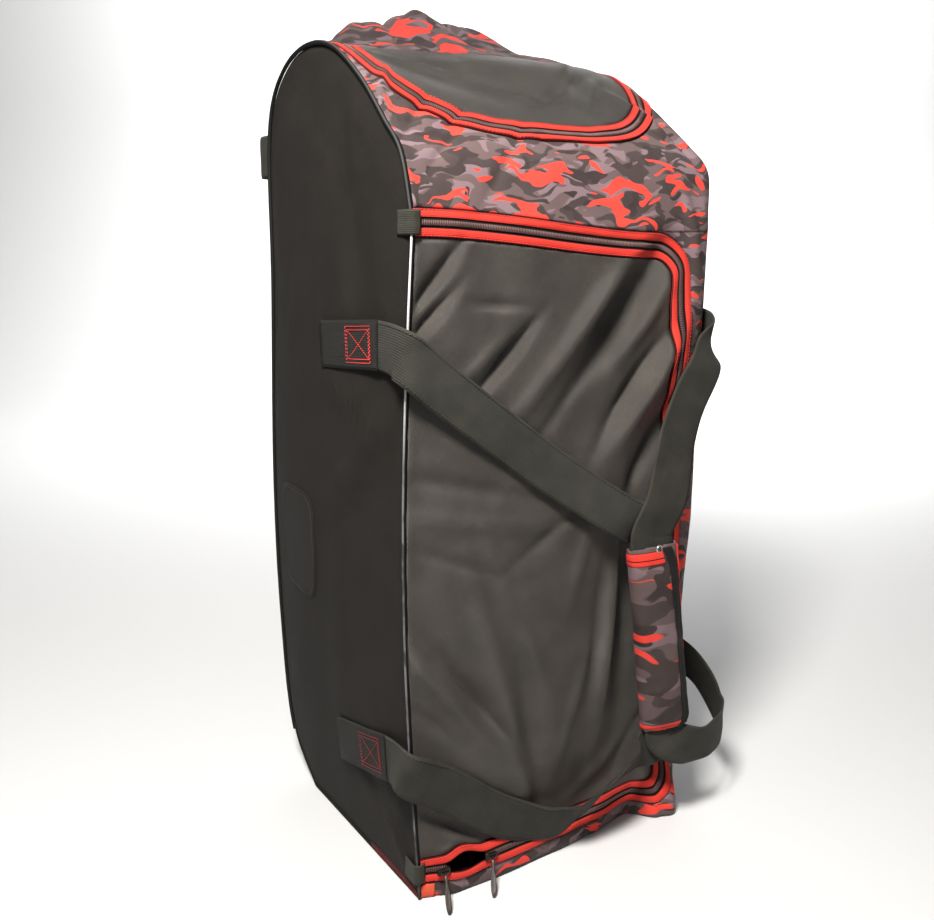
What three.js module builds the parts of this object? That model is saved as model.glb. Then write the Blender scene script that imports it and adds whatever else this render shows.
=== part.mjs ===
// Kit bag standing on its end: soft cloth walls round one hollow, a zipped lid on the front, a zipped
// pocket on the arched upper end, and two webbing handles held together by a padded wrap.
import * as THREE from 'three';

// Driving sizes of the bag, in millimetres
const WIDTH = 394; // left seam to right side, over the lid
const DEPTH = 378; // lid face to the fullest part of the base
const SIDE_HEIGHT = 905; // floor to the crown of the side panels
const CLOTH = 2.4; // outer cloth with its foam and lining
const GAP = 0.35; // clearance between pieces that touch
const EDGE_BOW = 15; // how far the left seam bows out at mid height
const SIDE_BULGE = 14; // how far each side panel swells
const CORNER_ROUND = 24; // radius of the soft corner on the right
const CORNER_TURN = 80; // degrees of that corner before its seam
const EDGE_FADE = 60; // swells die out over this distance from a seam
const FLOOR_FADE = 90; // and over this height above the floor
const FOOT_HEM = 16; // the foot's front edge keeps its shape this far from its corner
const FOOT_FADE = 78; // and has lost it this far

// Zips
const TAPE = 9.5; // width of each red tape
const COIL = 9.5; // width of the dark coil between the tapes
const ZIP_THICK = 2; // cloth of the tape and its edging
const LID_ZIP_DOWN = 190; // from the crown's height down to the lid zip's centre line
const LID_ZIP_TOP = SIDE_HEIGHT - LID_ZIP_DOWN;
const LID_ZIP_FOOT = 34; // height of its lower run
const LID_ZIP_DROOP = 21; // how much lower its top runs at the right
const LID_ZIP_INSET = 50; // from the right side to the lid zip's centre line
const LID_ZIP_ROUND = 34; // radius of its corners
const LENS_START = 30; // the open stretch between the two sliders, from the left seam
const LENS_LENGTH = 44;
const POCKET_DEPTH = 180; // of the end pocket, along the arched end
const POCKET_LEFT = 21; // from the left seam to its zip's centre line
const POCKET_RIGHT = 11; // and from that line to the right side
const POCKET_HALF = (WIDTH - POCKET_LEFT - POCKET_RIGHT) / 2;
const POCKET_CENTRE = POCKET_LEFT + POCKET_HALF;
const POCKET_SQUARENESS = 3; // 2 is an ellipse

// Trim
const PIPING = 2.4; // radius of the edge piping
const SEAM = PIPING + GAP; // from a corner seam to the edge of each panel
const WEBBING = 50; // width of the handle webbing
const WEB_THICK = 2.2;
const WRAP_THICK = 30; // of the padded wrap, through both straps
const WRAP_SIDE = 3.5; // its wall beside the straps
const WRAP_LENGTH = 232;
const REAR_STAND = 48; // how far the rear handle stands off the base
const TAB_WIDTH = 24; // webbing tabs folded over the left piping
const TAB_REACH = 20;
const SLIDER_LENGTH = 15;
const SLIDER_WIDTH = 9;
const SLIDER_THICK = 4.5;
const PULL_LENGTH = 38;
const PULL_WIDTH = 8;
const PULL_THICK = 3.4;
const FLANK_PATCH_WIDTH = 112;
const FLANK_PATCH_HEIGHT = 132;
const PATCH_THICK = 1.2;
const PATCH_SQUARENESS = 5; // 2 is an ellipse
const SIDE_MIDDLE_UP = 0.45; // share of SIDE_HEIGHT at which the side panels swell most

// How finely the pieces are faceted
const ARC_STEPS = 4; // of a zip corner
const ROW_STEP = 46; // longest facet along the lid
const LID_COLUMNS = 11;
const POCKET_STEPS = 18; // round the pocket zip
const TUBE_SIDES = 6;
const ROUTE_STEPS = 2; // facets between two rows of a handle route

// The bag's side outline, from under the foot forward, up the front, over the arched end and down the base.
// y is a share of DEPTH, z of SIDE_HEIGHT, right (where the right side stands) of WIDTH, and round of
// CORNER_ROUND; facets runs to the next row.
const OUTLINE = [
  { at: 'under', y: 0.476, z: 0, right: 0.947, facets: 2, round: 0.35, straight: true },
  { at: 'toe_back', y: 0.035, z: 0, right: 0.947, facets: 2, round: 0.35 },
  { at: 'toe', y: 0.006, z: 0.002, right: 0.947, facets: 1, round: 0.35 },
  { at: 'toe_front', y: 0, z: 0.009, right: 0.947, facets: 1, round: 0.4, straight: true },
  { at: 'cuff', y: 0, z: 0.1, right: 0.962, facets: 2, round: 1, straight: true },
  { at: 'shin', y: 0, z: 0.28, right: 0.972, facets: 1, round: 1, straight: true },
  { at: 'waist', y: 0, z: 0.42, right: 0.994, facets: 2, round: 1, straight: true },
  { at: 'shoulder', y: 0, z: 0.79, right: 1.01, facets: 2, round: 1 },
  { at: 'shoulder_turn', y: 0.058, z: 0.863, right: 1.052, facets: 2, round: 1 },
  { at: 'brow', y: 0.138, z: 0.896, right: 1.05, facets: 2, round: 1 },
  { at: 'brow_back', y: 0.262, z: 0.944, right: 1.015, facets: 2, round: 1 },
  { at: 'rise', y: 0.423, z: 0.987, right: 1, facets: 1, round: 1 },
  { at: 'crown', y: 0.534, z: 1, right: 1, facets: 2, round: 1 },
  { at: 'crown_back', y: 0.661, z: 1, right: 1, facets: 2, round: 1 },
  { at: 'nape', y: 0.78, z: 0.985, right: 1, facets: 2, round: 1 },
  { at: 'nape_turn', y: 0.874, z: 0.955, right: 1, facets: 1, round: 1 },
  { at: 'base_top', y: 0.925, z: 0.907, right: 1, facets: 3, round: 0.8 },
  { at: 'base_upper', y: 0.943, z: 0.72, right: 1, facets: 3, round: 0.8 },
  { at: 'base_full', y: 1, z: 0.42, right: 0.99, facets: 2, round: 0.8 },
  { at: 'base_low', y: 0.982, z: 0.229, right: 0.97, facets: 3, round: 0.8 },
  { at: 'heel_back', y: 0.9, z: 0.06, right: 0.95, facets: 3, round: 0.5 },
  { at: 'heel', y: 0.73, z: 0, right: 0.947, facets: 2, round: 0.35, straight: true },
];

// How far the foot's front edge stands forward of the lid, in shares of DEPTH, at shares of WIDTH from the left
const FOOT_EDGE = [
  { across: 0, out: 0 },
  { across: 0.1, out: 0.036 },
  { across: 0.24, out: 0.038 },
  { across: 0.45, out: 0.027 },
  { across: 0.6, out: 0.014 },
  { across: 0.76, out: -0.016 },
  { across: 0.83, out: 0.055 },
  { across: 0.88, out: 0.07 },
  { across: 0.95, out: 0 },
  { across: 1.2, out: 0 },
];

// Swells, folds and dents of the wrapping cloth. across is a share of WIDTH from the left seam, up of
// SIDE_HEIGHT along the outline from the floor; long and wide are half sizes in shares of WIDTH, turn is how
// many degrees the long way stands from level, and lift is the share of DEPTH by which the cloth stands out.
const SWELLS = [
  { across: 0.5, up: 0.4, long: 0.75, wide: 0.5, turn: 90, lift: 0.028 },
  { across: 0.36, up: 0.24, long: 0.45, wide: 0.14, turn: 100, lift: 0.018 },
  { across: 0.76, up: 0.3, long: 0.5, wide: 0.11, turn: 88, lift: -0.03 },
  { across: 0.66, up: 0.63, long: 0.36, wide: 0.085, turn: 52, lift: -0.028 },
  { across: 0.78, up: 0.62, long: 0.32, wide: 0.08, turn: 55, lift: 0.02 },
  { across: 0.3, up: 0.13, long: 0.3, wide: 0.09, turn: -42, lift: 0.018 },
  { across: 0.46, up: 1.22, long: 0.38, wide: 0.15, turn: 0, lift: 0.222 },
  { across: 0.93, up: 1.2, long: 0.12, wide: 0.15, turn: 0, lift: 0.045 },
  { across: 0.7, up: 1.07, long: 0.25, wide: 0.13, turn: 0, lift: 0.02 },
  { across: 0.35, up: 1.03, long: 0.25, wide: 0.1, turn: -20, lift: -0.03 },
  { across: 0.5, up: 1.62, long: 0.6, wide: 0.4, turn: 90, lift: 0.02 },
];

// Handle routes, from the upper end to the wrap and from the wrap to the lower end. On a side, across is the
// share of DEPTH from the front; on the lid it is the share of WIDTH from the left. up is a share of
// SIDE_HEIGHT and stand a share of WEBBING, off that surface. lean tilts the webbing's width from upright
// towards the right, and face turns it about the upright, both in degrees.
const LEFT_UPPER = [
  { on: 'left', across: 0.44, up: 0.652, stand: 0.036, lean: 3, face: 90 },
  { on: 'left', across: 0.24, up: 0.657, stand: 0.04, lean: 3, face: 90 },
  { on: 'left', across: 0.085, up: 0.66, stand: 0.1, lean: 4, face: 75 },
  { on: 'left', across: -0.025, up: 0.652, stand: 0.1, lean: 8, face: 30 },
  { on: 'lid', across: 0.066, up: 0.615, stand: 0.22, lean: 24, face: 0 },
  { on: 'lid', across: 0.203, up: 0.571, stand: 0.16, lean: 34, face: 0 },
  { on: 'lid', across: 0.388, up: 0.512, stand: 0.14, lean: 36, face: 0 },
  { on: 'lid', across: 0.518, up: 0.473, stand: 0.24, lean: 40, face: 6 },
  { on: 'lid', across: 0.62, up: 0.444, stand: 0.46, lean: 56, face: 0 },
];
const LEFT_LOWER = [
  { on: 'lid', across: 0.768, up: 0.12, stand: 0.53, lean: 104, face: -10 },
  { on: 'lid', across: 0.71, up: 0.106, stand: 0.56, lean: 116, face: 32 },
  { on: 'lid', across: 0.62, up: 0.088, stand: 0.54, lean: 124, face: 58 },
  { on: 'lid', across: 0.515, up: 0.064, stand: 0.5, lean: 136, face: 60 },
  { on: 'lid', across: 0.41, up: 0.055, stand: 0.4, lean: 158, face: 40 },
  { on: 'lid', across: 0.25, up: 0.082, stand: 0.2, lean: 194, face: 0 },
  { on: 'lid', across: 0.06, up: 0.145, stand: 0.22, lean: 206, face: 0 },
  { on: 'left', across: -0.03, up: 0.178, stand: 0.2, lean: 196, face: -40 },
  { on: 'left', across: 0.07, up: 0.176, stand: 0.14, lean: 188, face: -80 },
  { on: 'left', across: 0.22, up: 0.16, stand: 0.045, lean: 188, face: -90 },
  { on: 'left', across: 0.42, up: 0.14, stand: 0.036, lean: 188, face: -90 },
];
const RIGHT_UPPER = [
  { on: 'right', across: 0.44, up: 0.66, stand: 0.036, lean: 4, face: 90 },
  { on: 'right', across: 0.33, up: 0.66, stand: 0.045, lean: 4, face: 90 },
  { on: 'right', across: 0.22, up: 0.66, stand: 0.075, lean: 5, face: 90 },
  { on: 'right', across: 0.055, up: 0.66, stand: 0.15, lean: 8, face: 75 },
  { on: 'lid', across: 0.983, up: 0.652, stand: 0.14, lean: 24, face: 40 },
  { on: 'lid', across: 0.925, up: 0.624, stand: 0.5, lean: -58, face: 0 },
  { on: 'lid', across: 0.838, up: 0.582, stand: 0.66, lean: 112, face: -4 },
  { on: 'lid', across: 0.775, up: 0.534, stand: 0.84, lean: 112, face: -10 },
  { on: 'lid', across: 0.735, up: 0.466, stand: 0.98, lean: 102, face: -16 },
];
const RIGHT_LOWER = [
  { on: 'lid', across: 0.87, up: 0.122, stand: 1.06, lean: 40, face: -16 },
  { on: 'lid', across: 0.98, up: 0.118, stand: 0.94, lean: 10, face: 0 },
  { on: 'right', across: -0.05, up: 0.116, stand: 1.16, lean: 0, face: 40 },
  { on: 'right', across: 0.01, up: 0.128, stand: 1.3, lean: -20, face: 60 },
  { on: 'right', across: 0.08, up: 0.158, stand: 1.18, lean: -30, face: 70 },
  { on: 'right', across: 0.16, up: 0.185, stand: 0.7, lean: -20, face: 80 },
  { on: 'right', across: 0.27, up: 0.2, stand: 0.18, lean: -8, face: 90 },
  { on: 'right', across: 0.38, up: 0.2, stand: 0.045, lean: -6, face: 90 },
  { on: 'right', across: 0.48, up: 0.198, stand: 0.036, lean: -6, face: 90 },
];

// The wrap's axis hangs from its top to its foot: shares of WIDTH and SIDE_HEIGHT, and off the lid in WEBBING
const WRAP_TOP = { across: 0.715, up: 0.404, stand: 0.7 };
const WRAP_SLANT = { across: 0.082, stand: 0 }; // how its foot lies from its top
const WRAP_FACE = -20; // degrees that it is turned about the upright
const WRAP_TAPER = 0.8; // thickness of its ends, as a share of its middle
const WRAP_SQUARENESS = 3; // of its outside; 2 is an ellipse
const BORE_SQUARENESS = 12; // of the slot for the straps
const BORE_FLARE = 1.45; // how much thicker that slot is at its ends
const STRAP_LAYER = WEB_THICK / 2 + 4 * GAP; // from the wrap's axis to each strap's middle

// The straps along the wrap's axis: apart is how many times STRAP_LAYER each lies from it
const WRAP_ROUTE = [
  { share: -0.06, apart: 2 },
  { share: 0, apart: 1.4 },
  { share: 0.1, apart: 1 },
  { share: 0.5, apart: 1 },
  { share: 0.9, apart: 1 },
  { share: 1, apart: 1.4 },
  { share: 1.06, apart: 2 },
];

// The rear handle, seam to seam: x is a share of WIDTH, out of REAR_STAND
const REAR_HANDLE = [
  { x: 0.012, out: -0.02 },
  { x: 0.006, out: 0.5 },
  { x: 0.022, out: 0.88 },
  { x: 0.09, out: 0.98 },
  { x: 0.3, out: 1 },
  { x: 0.5, out: 1 },
  { x: 0.7, out: 1 },
  { x: 0.91, out: 0.98 },
  { x: 0.985, out: 0.82 },
  { x: 0.985, out: 0.45 },
  { x: 0.955, out: -0.02 },
];
const REAR_HANDLE_UP = 0.885; // share of SIDE_HEIGHT

// Where the plain patch sits on the left side: shares of DEPTH and SIDE_HEIGHT
const FLANK_PATCH_AT = { across: 0.69, up: 0.381 };

// Colours
const BLACK_CLOTH = { color: 0x2a2826, roughness: 0.82, metalness: 0 };
const CAMO_CLOTH = { color: 0x6d5f60, roughness: 0.8, metalness: 0 };
const RED_TAPE = { color: 0xe0463c, roughness: 0.7, metalness: 0 };
const DARK_COIL = { color: 0x3a3331, roughness: 0.5, metalness: 0 };
const WEBBING_CLOTH = { color: 0x35362f, roughness: 0.75, metalness: 0 };
const PIPING_CLOTH = { color: 0x3c3c3a, roughness: 0.45, metalness: 0 };
const BLACK_METAL = { color: 0x26231f, roughness: 0.4, metalness: 0.6 };
const PATCH_CLOTH = { color: 0x8c8a86, roughness: 0.6, metalness: 0 };

const rad = THREE.MathUtils.degToRad;
const smooth = (x, low, high) => THREE.MathUtils.smoothstep(x, low, high);
const TURN = rad(CORNER_TURN);
const BAND = TAPE + COIL / 2; // half the width of a whole zip
const bag = new THREE.Group();

// The side outline as stations with their outward normals. s is the length along it, and is the height on the front.
function makeStations(rows) {
  const stations = [];
  const names = {};
  const point = (row) => new THREE.Vector3(row.right * WIDTH, row.y * DEPTH, row.z * SIDE_HEIGHT);
  const add = (p, round) => stations.push({ right: p.x, y: p.y, z: p.z, round: round * CORNER_ROUND });
  rows.forEach((row, i) => {
    const next = rows[(i + 1) % rows.length];
    let first = i;
    while (first > 0 && !rows[first - 1].straight && !row.straight) first -= 1;
    let last = i + 1;
    while (!row.straight && last < rows.length && !rows[last].straight) last += 1;
    const run = row.straight ? [row, next] : rows.slice(first, last + 1);
    const curve = new THREE.CatmullRomCurve3(run.map(point), false, 'centripetal');
    names[row.at] = stations.length;
    for (let k = 0; k < row.facets; k += 1) {
      const share = k / row.facets;
      const along = (i - (row.straight ? i : first) + share) / (run.length - 1);
      add(row.straight ? curve.getPoint(share) : curve.getPoint(along), THREE.MathUtils.lerp(row.round, next.round, share));
    }
  });
  add(point(rows[0]), rows[0].round);
  const lengths = [0];
  for (let i = 1; i < stations.length; i += 1) {
    lengths.push(lengths[i - 1] + Math.hypot(stations[i].y - stations[i - 1].y, stations[i].z - stations[i - 1].z));
  }
  const zero = lengths[names.toe_front] - stations[names.toe_front].z;
  const count = stations.length - 1;
  stations.forEach((station, i) => {
    const before = stations[i === 0 ? count - 1 : i - 1];
    const after = stations[i === count ? 1 : i + 1];
    const tangent = new THREE.Vector2(after.y - station.y, after.z - station.z).normalize();
    tangent.add(new THREE.Vector2(station.y - before.y, station.z - before.z).normalize()).normalize();
    station.ny = -tangent.y;
    station.nz = tangent.x;
    station.s = lengths[i] - zero;
  });
  return { stations, names };
}

const { stations, names: stationNames } = makeStations(OUTLINE);
const sAt = (name) => stations[stationNames[name]].s;
const S_UNDER = stations[0].s;
const S_END = stations[stations.length - 1].s;
const S_CROWN = sAt('crown');
const SHOULDER_HEIGHT = stations[stationNames.shoulder].z;

// The outline at length s, straight between stations
function outlineAt(s) {
  let i = 1;
  while (i < stations.length - 1 && stations[i].s < s) i += 1;
  const a = stations[i - 1];
  const b = stations[i];
  const t = (s - a.s) / (b.s - a.s);
  const mix = (key) => THREE.MathUtils.lerp(a[key], b[key], t);
  const size = Math.hypot(mix('ny'), mix('nz'));
  const at = { y: mix('y'), z: mix('z'), right: mix('right'), round: mix('round') };
  return { ...at, ny: mix('ny') / size, nz: mix('nz') / size };
}

// Left edge of the wrapping cloth, where its round corner starts, and its far seam measured over that corner
function leftEdge(y, z) {
  const bow = Math.sin(Math.PI * THREE.MathUtils.clamp(z / SHOULDER_HEIGHT, 0, 1));
  return -EDGE_BOW * bow * (1 - THREE.MathUtils.clamp(y / DEPTH, 0, 1));
}
const flatEnd = (o) => o.right - o.round;
const seamOf = (o) => flatEnd(o) + o.round * TURN;
const seamAt = (s) => seamOf(outlineAt(s));
function leftAt(s) {
  const o = outlineAt(s);
  return leftEdge(o.y, o.z) + SEAM;
}

// How far the foot's front edge stands forward at x
function footOut(x) {
  const share = THREE.MathUtils.clamp(x / WIDTH, 0, FOOT_EDGE[FOOT_EDGE.length - 1].across);
  const i = Math.max(1, FOOT_EDGE.findIndex((row) => row.across >= share));
  const a = FOOT_EDGE[i - 1];
  const b = FOOT_EDGE[i];
  return DEPTH * THREE.MathUtils.lerp(a.out, b.out, smooth(share, a.across, b.across));
}

// How far the swells lift the cloth at (x, s)
function liftAt(x, s) {
  let lift = 0;
  for (const swell of SWELLS) {
    const dx = x / WIDTH - swell.across;
    const ds = (s - swell.up * SIDE_HEIGHT) / WIDTH;
    const turn = rad(swell.turn);
    const along = (dx * Math.cos(turn) + ds * Math.sin(turn)) / swell.long;
    const beside = (ds * Math.cos(turn) - dx * Math.sin(turn)) / swell.wide;
    lift += swell.lift * DEPTH * Math.exp(-along * along - beside * beside);
  }
  const height = outlineAt(s).z;
  const edges = smooth(x, leftAt(s), leftAt(s) + EDGE_FADE) * (1 - smooth(x, seamAt(s) - EDGE_FADE, seamAt(s)));
  return lift * edges * smooth(height, LID_ZIP_FOOT - BAND, LID_ZIP_FOOT + FLOOR_FADE);
}

// The wrapping cloth's outer face: x runs across it and over the round corner, s along the outline
function skin(x, s) {
  const o = outlineAt(s);
  const turn = Math.max(0, x - flatEnd(o)) / o.round;
  const rise = liftAt(x, s) - o.round * (1 - Math.cos(turn));
  const flat = Math.min(x, flatEnd(o)) + o.round * Math.sin(turn);
  const foot = footOut(x) * (1 - smooth(o.z, FOOT_HEM, FOOT_FADE)) * (1 - smooth(o.y, FOOT_HEM, FOOT_FADE));
  return {
    point: new THREE.Vector3(flat, o.y + o.ny * rise - foot, o.z + o.nz * rise),
    normal: new THREE.Vector3(Math.sin(turn), o.ny * Math.cos(turn), o.nz * Math.cos(turn)),
  };
}

// Each side panel's rim, and the panel's outer face: rings of the rim drawn in to the middle, swelling out
const sideMiddle = (side) => ({
  x: side === 'left' ? leftEdge(DEPTH / 2, SIDE_HEIGHT / 2) : WIDTH,
  y: DEPTH / 2,
  z: SIDE_HEIGHT * SIDE_MIDDLE_UP,
});
function sideRim(side) {
  return stations.slice(0, -1).map((o) => {
    const inset = SEAM + (side === 'left' ? 0 : o.round * (1 - Math.cos(TURN)));
    const x = side === 'left' ? leftEdge(o.y, o.z) : flatEnd(o) + o.round * Math.sin(TURN);
    return { x, y: o.y - o.ny * inset, z: o.z - o.nz * inset };
  });
}
const sides = {
  left: { way: -1, rim: sideRim('left'), middle: sideMiddle('left') },
  right: { way: 1, rim: sideRim('right'), middle: sideMiddle('right') },
};
const sideFace = (side, rimX, ring) => (
  THREE.MathUtils.lerp(side.middle.x, rimX, ring ** 2) + side.way * SIDE_BULGE * (1 - Math.min(ring, 1) ** 3)
);

// The same face's x at any place (y, z)
function sideX(name, y, z) {
  const side = sides[name];
  const dy = y - side.middle.y;
  const dz = z - side.middle.z;
  for (let i = 0; i < side.rim.length; i += 1) {
    const a = side.rim[i];
    const b = side.rim[(i + 1) % side.rim.length];
    const det = dy * (b.z - a.z) - dz * (b.y - a.y);
    const ay = a.y - side.middle.y;
    const az = a.z - side.middle.z;
    const reach = (ay * (b.z - a.z) - az * (b.y - a.y)) / det;
    const along = (ay * dz - az * dy) / det;
    if (reach > 0 && along >= 0 && along <= 1) return sideFace(side, THREE.MathUtils.lerp(a.x, b.x, along), 1 / reach);
  }
  return sideFace(side, side.middle.x, 0);
}

// Adds a closed mesh to the bag, with its faces pointing out
function addMesh(name, positions, faces, finish) {
  let volume = 0;
  for (const [a, b, c] of faces) volume += positions[a].dot(new THREE.Vector3().crossVectors(positions[b], positions[c]));
  const geometry = new THREE.BufferGeometry();
  geometry.setAttribute('position', new THREE.Float32BufferAttribute(positions.flatMap((p) => p.toArray()), 3));
  geometry.setIndex(faces.flatMap((f) => (volume < 0 ? [f[0], f[2], f[1]] : f)));
  geometry.computeVertexNormals();
  const mesh = new THREE.Mesh(geometry, new THREE.MeshStandardMaterial(finish));
  mesh.name = name;
  bag.add(mesh);
  return mesh;
}

// A closed sheet from a grid of outer points with normals: at(column, row) gives both
function addSheet(name, columns, rows, at, thick, finish) {
  const positions = [];
  const faces = [];
  const wide = columns + 1;
  const layer = wide * (rows + 1);
  for (const depth of [0, thick]) {
    for (let j = 0; j <= rows; j += 1) {
      for (let i = 0; i <= columns; i += 1) {
        const { point, normal } = at(i, j);
        positions.push(point.clone().addScaledVector(normal, -depth));
      }
    }
  }
  const quad = (a, b, c, d) => faces.push([a, b, c], [a, c, d]);
  for (let j = 0; j < rows; j += 1) {
    for (let i = 0; i < columns; i += 1) {
      const a = j * wide + i;
      quad(a, a + 1, a + 1 + wide, a + wide);
      quad(layer + a, layer + a + wide, layer + a + 1 + wide, layer + a + 1);
    }
  }
  const rim = [];
  for (let i = 0; i < columns; i += 1) rim.push(i);
  for (let j = 0; j < rows; j += 1) rim.push(j * wide + columns);
  for (let i = columns; i > 0; i -= 1) rim.push(rows * wide + i);
  for (let j = rows; j > 0; j -= 1) rim.push(j * wide);
  rim.forEach((a, k) => {
    const b = rim[(k + 1) % rim.length];
    quad(b, a, a + layer, b + layer);
  });
  return addMesh(name, positions, faces, finish);
}

// A closed strip of rectangular section through stations with a point, the way of its width, and its normal
function addStrip(name, steps, width, thick, finish) {
  const positions = [];
  const faces = [];
  for (const { point, wide, normal } of steps) {
    for (const [a, b] of [[-1, -1], [1, -1], [1, 1], [-1, 1]]) {
      positions.push(point.clone().addScaledVector(wide, (a * width) / 2).addScaledVector(normal, (b * thick) / 2));
    }
  }
  const quad = (a, b, c, d) => faces.push([a, b, c], [a, c, d]);
  for (let k = 0; k < steps.length - 1; k += 1) {
    for (let e = 0; e < 4; e += 1) quad(k * 4 + e, k * 4 + ((e + 1) % 4), k * 4 + 4 + ((e + 1) % 4), k * 4 + 4 + e);
  }
  const last = (steps.length - 1) * 4;
  quad(3, 2, 1, 0);
  quad(last, last + 1, last + 2, last + 3);
  return addMesh(name, positions, faces, finish);
}

// Every station strictly between two lengths, with both ends, and no facet longer than step
function rowsBetween(low, high, step = Infinity) {
  const inside = stations.map((o) => o.s).filter((s) => s > low + SEAM && s < high - SEAM);
  const ends = [low, ...inside, high];
  const rows = [low];
  for (let i = 1; i < ends.length; i += 1) {
    const parts = Math.max(1, Math.ceil((ends[i] - ends[i - 1]) / step));
    for (let k = 1; k <= parts; k += 1) rows.push(THREE.MathUtils.lerp(ends[i - 1], ends[i], k / parts));
  }
  return rows;
}

// The lid zip's centre line on the cloth, from the top left round to the foot left, with outward directions
const LID_ZIP_BEND = WIDTH - LID_ZIP_INSET - LID_ZIP_ROUND;
const droopAt = (x) => LID_ZIP_DROOP * smooth(x, 0, LID_ZIP_BEND);
function lidZipLine() {
  const side = WIDTH - LID_ZIP_INSET;
  const bend = LID_ZIP_BEND;
  const line = [];
  const level = (s, out, from, to, step) => {
    const parts = Math.max(1, Math.round(Math.abs(to - from) / step));
    for (let k = 0; k < parts; k += 1) {
      const x = THREE.MathUtils.lerp(from, to, k / parts);
      line.push({ x, s: s - (out.y > 0 ? droopAt(x) : 0), out, run: 'level' });
    }
  };
  const corner = (s, from, to) => {
    for (let k = 0; k <= ARC_STEPS; k += 1) {
      const a = rad(THREE.MathUtils.lerp(from, to, k / ARC_STEPS));
      const out = new THREE.Vector2(Math.cos(a), Math.sin(a));
      line.push({ x: bend + LID_ZIP_ROUND * out.x, s: s + LID_ZIP_ROUND * out.y, out, run: 'side' });
    }
  };
  const left = (s) => leftAt(s) + GAP;
  level(LID_ZIP_TOP, new THREE.Vector2(0, 1), left(LID_ZIP_TOP), bend, ROW_STEP);
  const high = LID_ZIP_TOP - LID_ZIP_DROOP - LID_ZIP_ROUND;
  corner(high, 90, 0);
  const rows = rowsBetween(LID_ZIP_FOOT + LID_ZIP_ROUND, high, ROW_STEP).reverse();
  rows.slice(1, -1).forEach((s) => line.push({ x: side, s, out: new THREE.Vector2(1, 0), run: 'side' }));
  corner(LID_ZIP_FOOT + LID_ZIP_ROUND, 0, -90);
  const foot = [bend, LENS_START + LENS_LENGTH, LENS_START, left(LID_ZIP_FOOT)];
  const down = new THREE.Vector2(0, -1);
  for (let k = 0; k < foot.length - 1; k += 1) {
    level(LID_ZIP_FOOT, down, foot[k], foot[k + 1], ROW_STEP);
  }
  line.push({ x: foot[foot.length - 1], s: LID_ZIP_FOOT, out: down, run: 'level' });
  return line;
}

// The pocket zip's centre line, from the left end of the crown seam round the front to its right end
function pocketZipLine() {
  const line = [];
  const at = (angle) => {
    const c = Math.cos(angle);
    const across = Math.sign(c) * Math.abs(c) ** (2 / POCKET_SQUARENESS);
    const down = Math.abs(Math.sin(angle)) ** (2 / POCKET_SQUARENESS);
    return new THREE.Vector2(POCKET_CENTRE - POCKET_HALF * across, S_CROWN - POCKET_DEPTH * down);
  };
  for (let k = 0; k <= POCKET_STEPS; k += 1) {
    const angle = (Math.PI * k) / POCKET_STEPS;
    const small = 0.02;
    const way = at(Math.min(angle + small, Math.PI)).sub(at(Math.max(angle - small, 0))).normalize();
    if (k === 0 || k === POCKET_STEPS) way.set(0, k === 0 ? -1 : 1);
    const p = at(angle);
    line.push({ x: p.x, s: p.y, out: new THREE.Vector2(way.y, -way.x), run: 'round' });
  }
  return line;
}

const offset = (step, by) => ({ x: step.x + step.out.x * by, s: step.s + step.out.y * by });
const lidLine = lidZipLine();
const pocketLine = pocketZipLine();

// A zip band: the strip of cloth between two offsets from a zip's centre line
function addBand(name, line, low, high, finish) {
  const at = (i, j) => {
    const place = offset(line[j], i === 0 ? low : high);
    return skin(place.x, Math.min(place.s, line === pocketLine ? S_CROWN - GAP : place.s));
  };
  addSheet(name, 1, line.length - 1, at, ZIP_THICK, finish);
}

// The lid and its zip. The lid's top edge droops with the zip, and its next rows by less and less.
function addLid() {
  const side = lidLine.filter((step) => step.run === 'side');
  const edge = (step) => offset(step, -(BAND + GAP));
  addSheet('lid', LID_COLUMNS, side.length - 1, (i, j) => {
    const { x, s } = edge(side[j]);
    const rise = LID_ZIP_DROOP - droopAt(THREE.MathUtils.lerp(leftAt(s), x, i / LID_COLUMNS));
    const up = s + rise * smooth(s, LID_ZIP_TOP / 2, LID_ZIP_TOP - LID_ZIP_DROOP - BAND - GAP);
    return skin(THREE.MathUtils.lerp(leftAt(up), x, i / LID_COLUMNS), up);
  }, CLOTH, BLACK_CLOTH);
  addBand('lid_zip_outer', lidLine, COIL / 2 + GAP / 2, BAND, RED_TAPE);
  addBand('lid_zip_inner', lidLine, -BAND, -COIL / 2 - GAP / 2, RED_TAPE);
  const foot = (step) => step.run === 'level' && step.s === LID_ZIP_FOOT;
  const closed = lidLine.filter((step) => !foot(step) || step.x > LENS_START + LENS_LENGTH - GAP);
  const end = lidLine.filter((step) => foot(step) && step.x < LENS_START + GAP);
  const half = COIL / 2 - GAP / 2;
  addBand('lid_zip_coil', closed, -half, half, DARK_COIL);
  addBand('lid_zip_end', end, -half, half, DARK_COIL);
}

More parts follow.
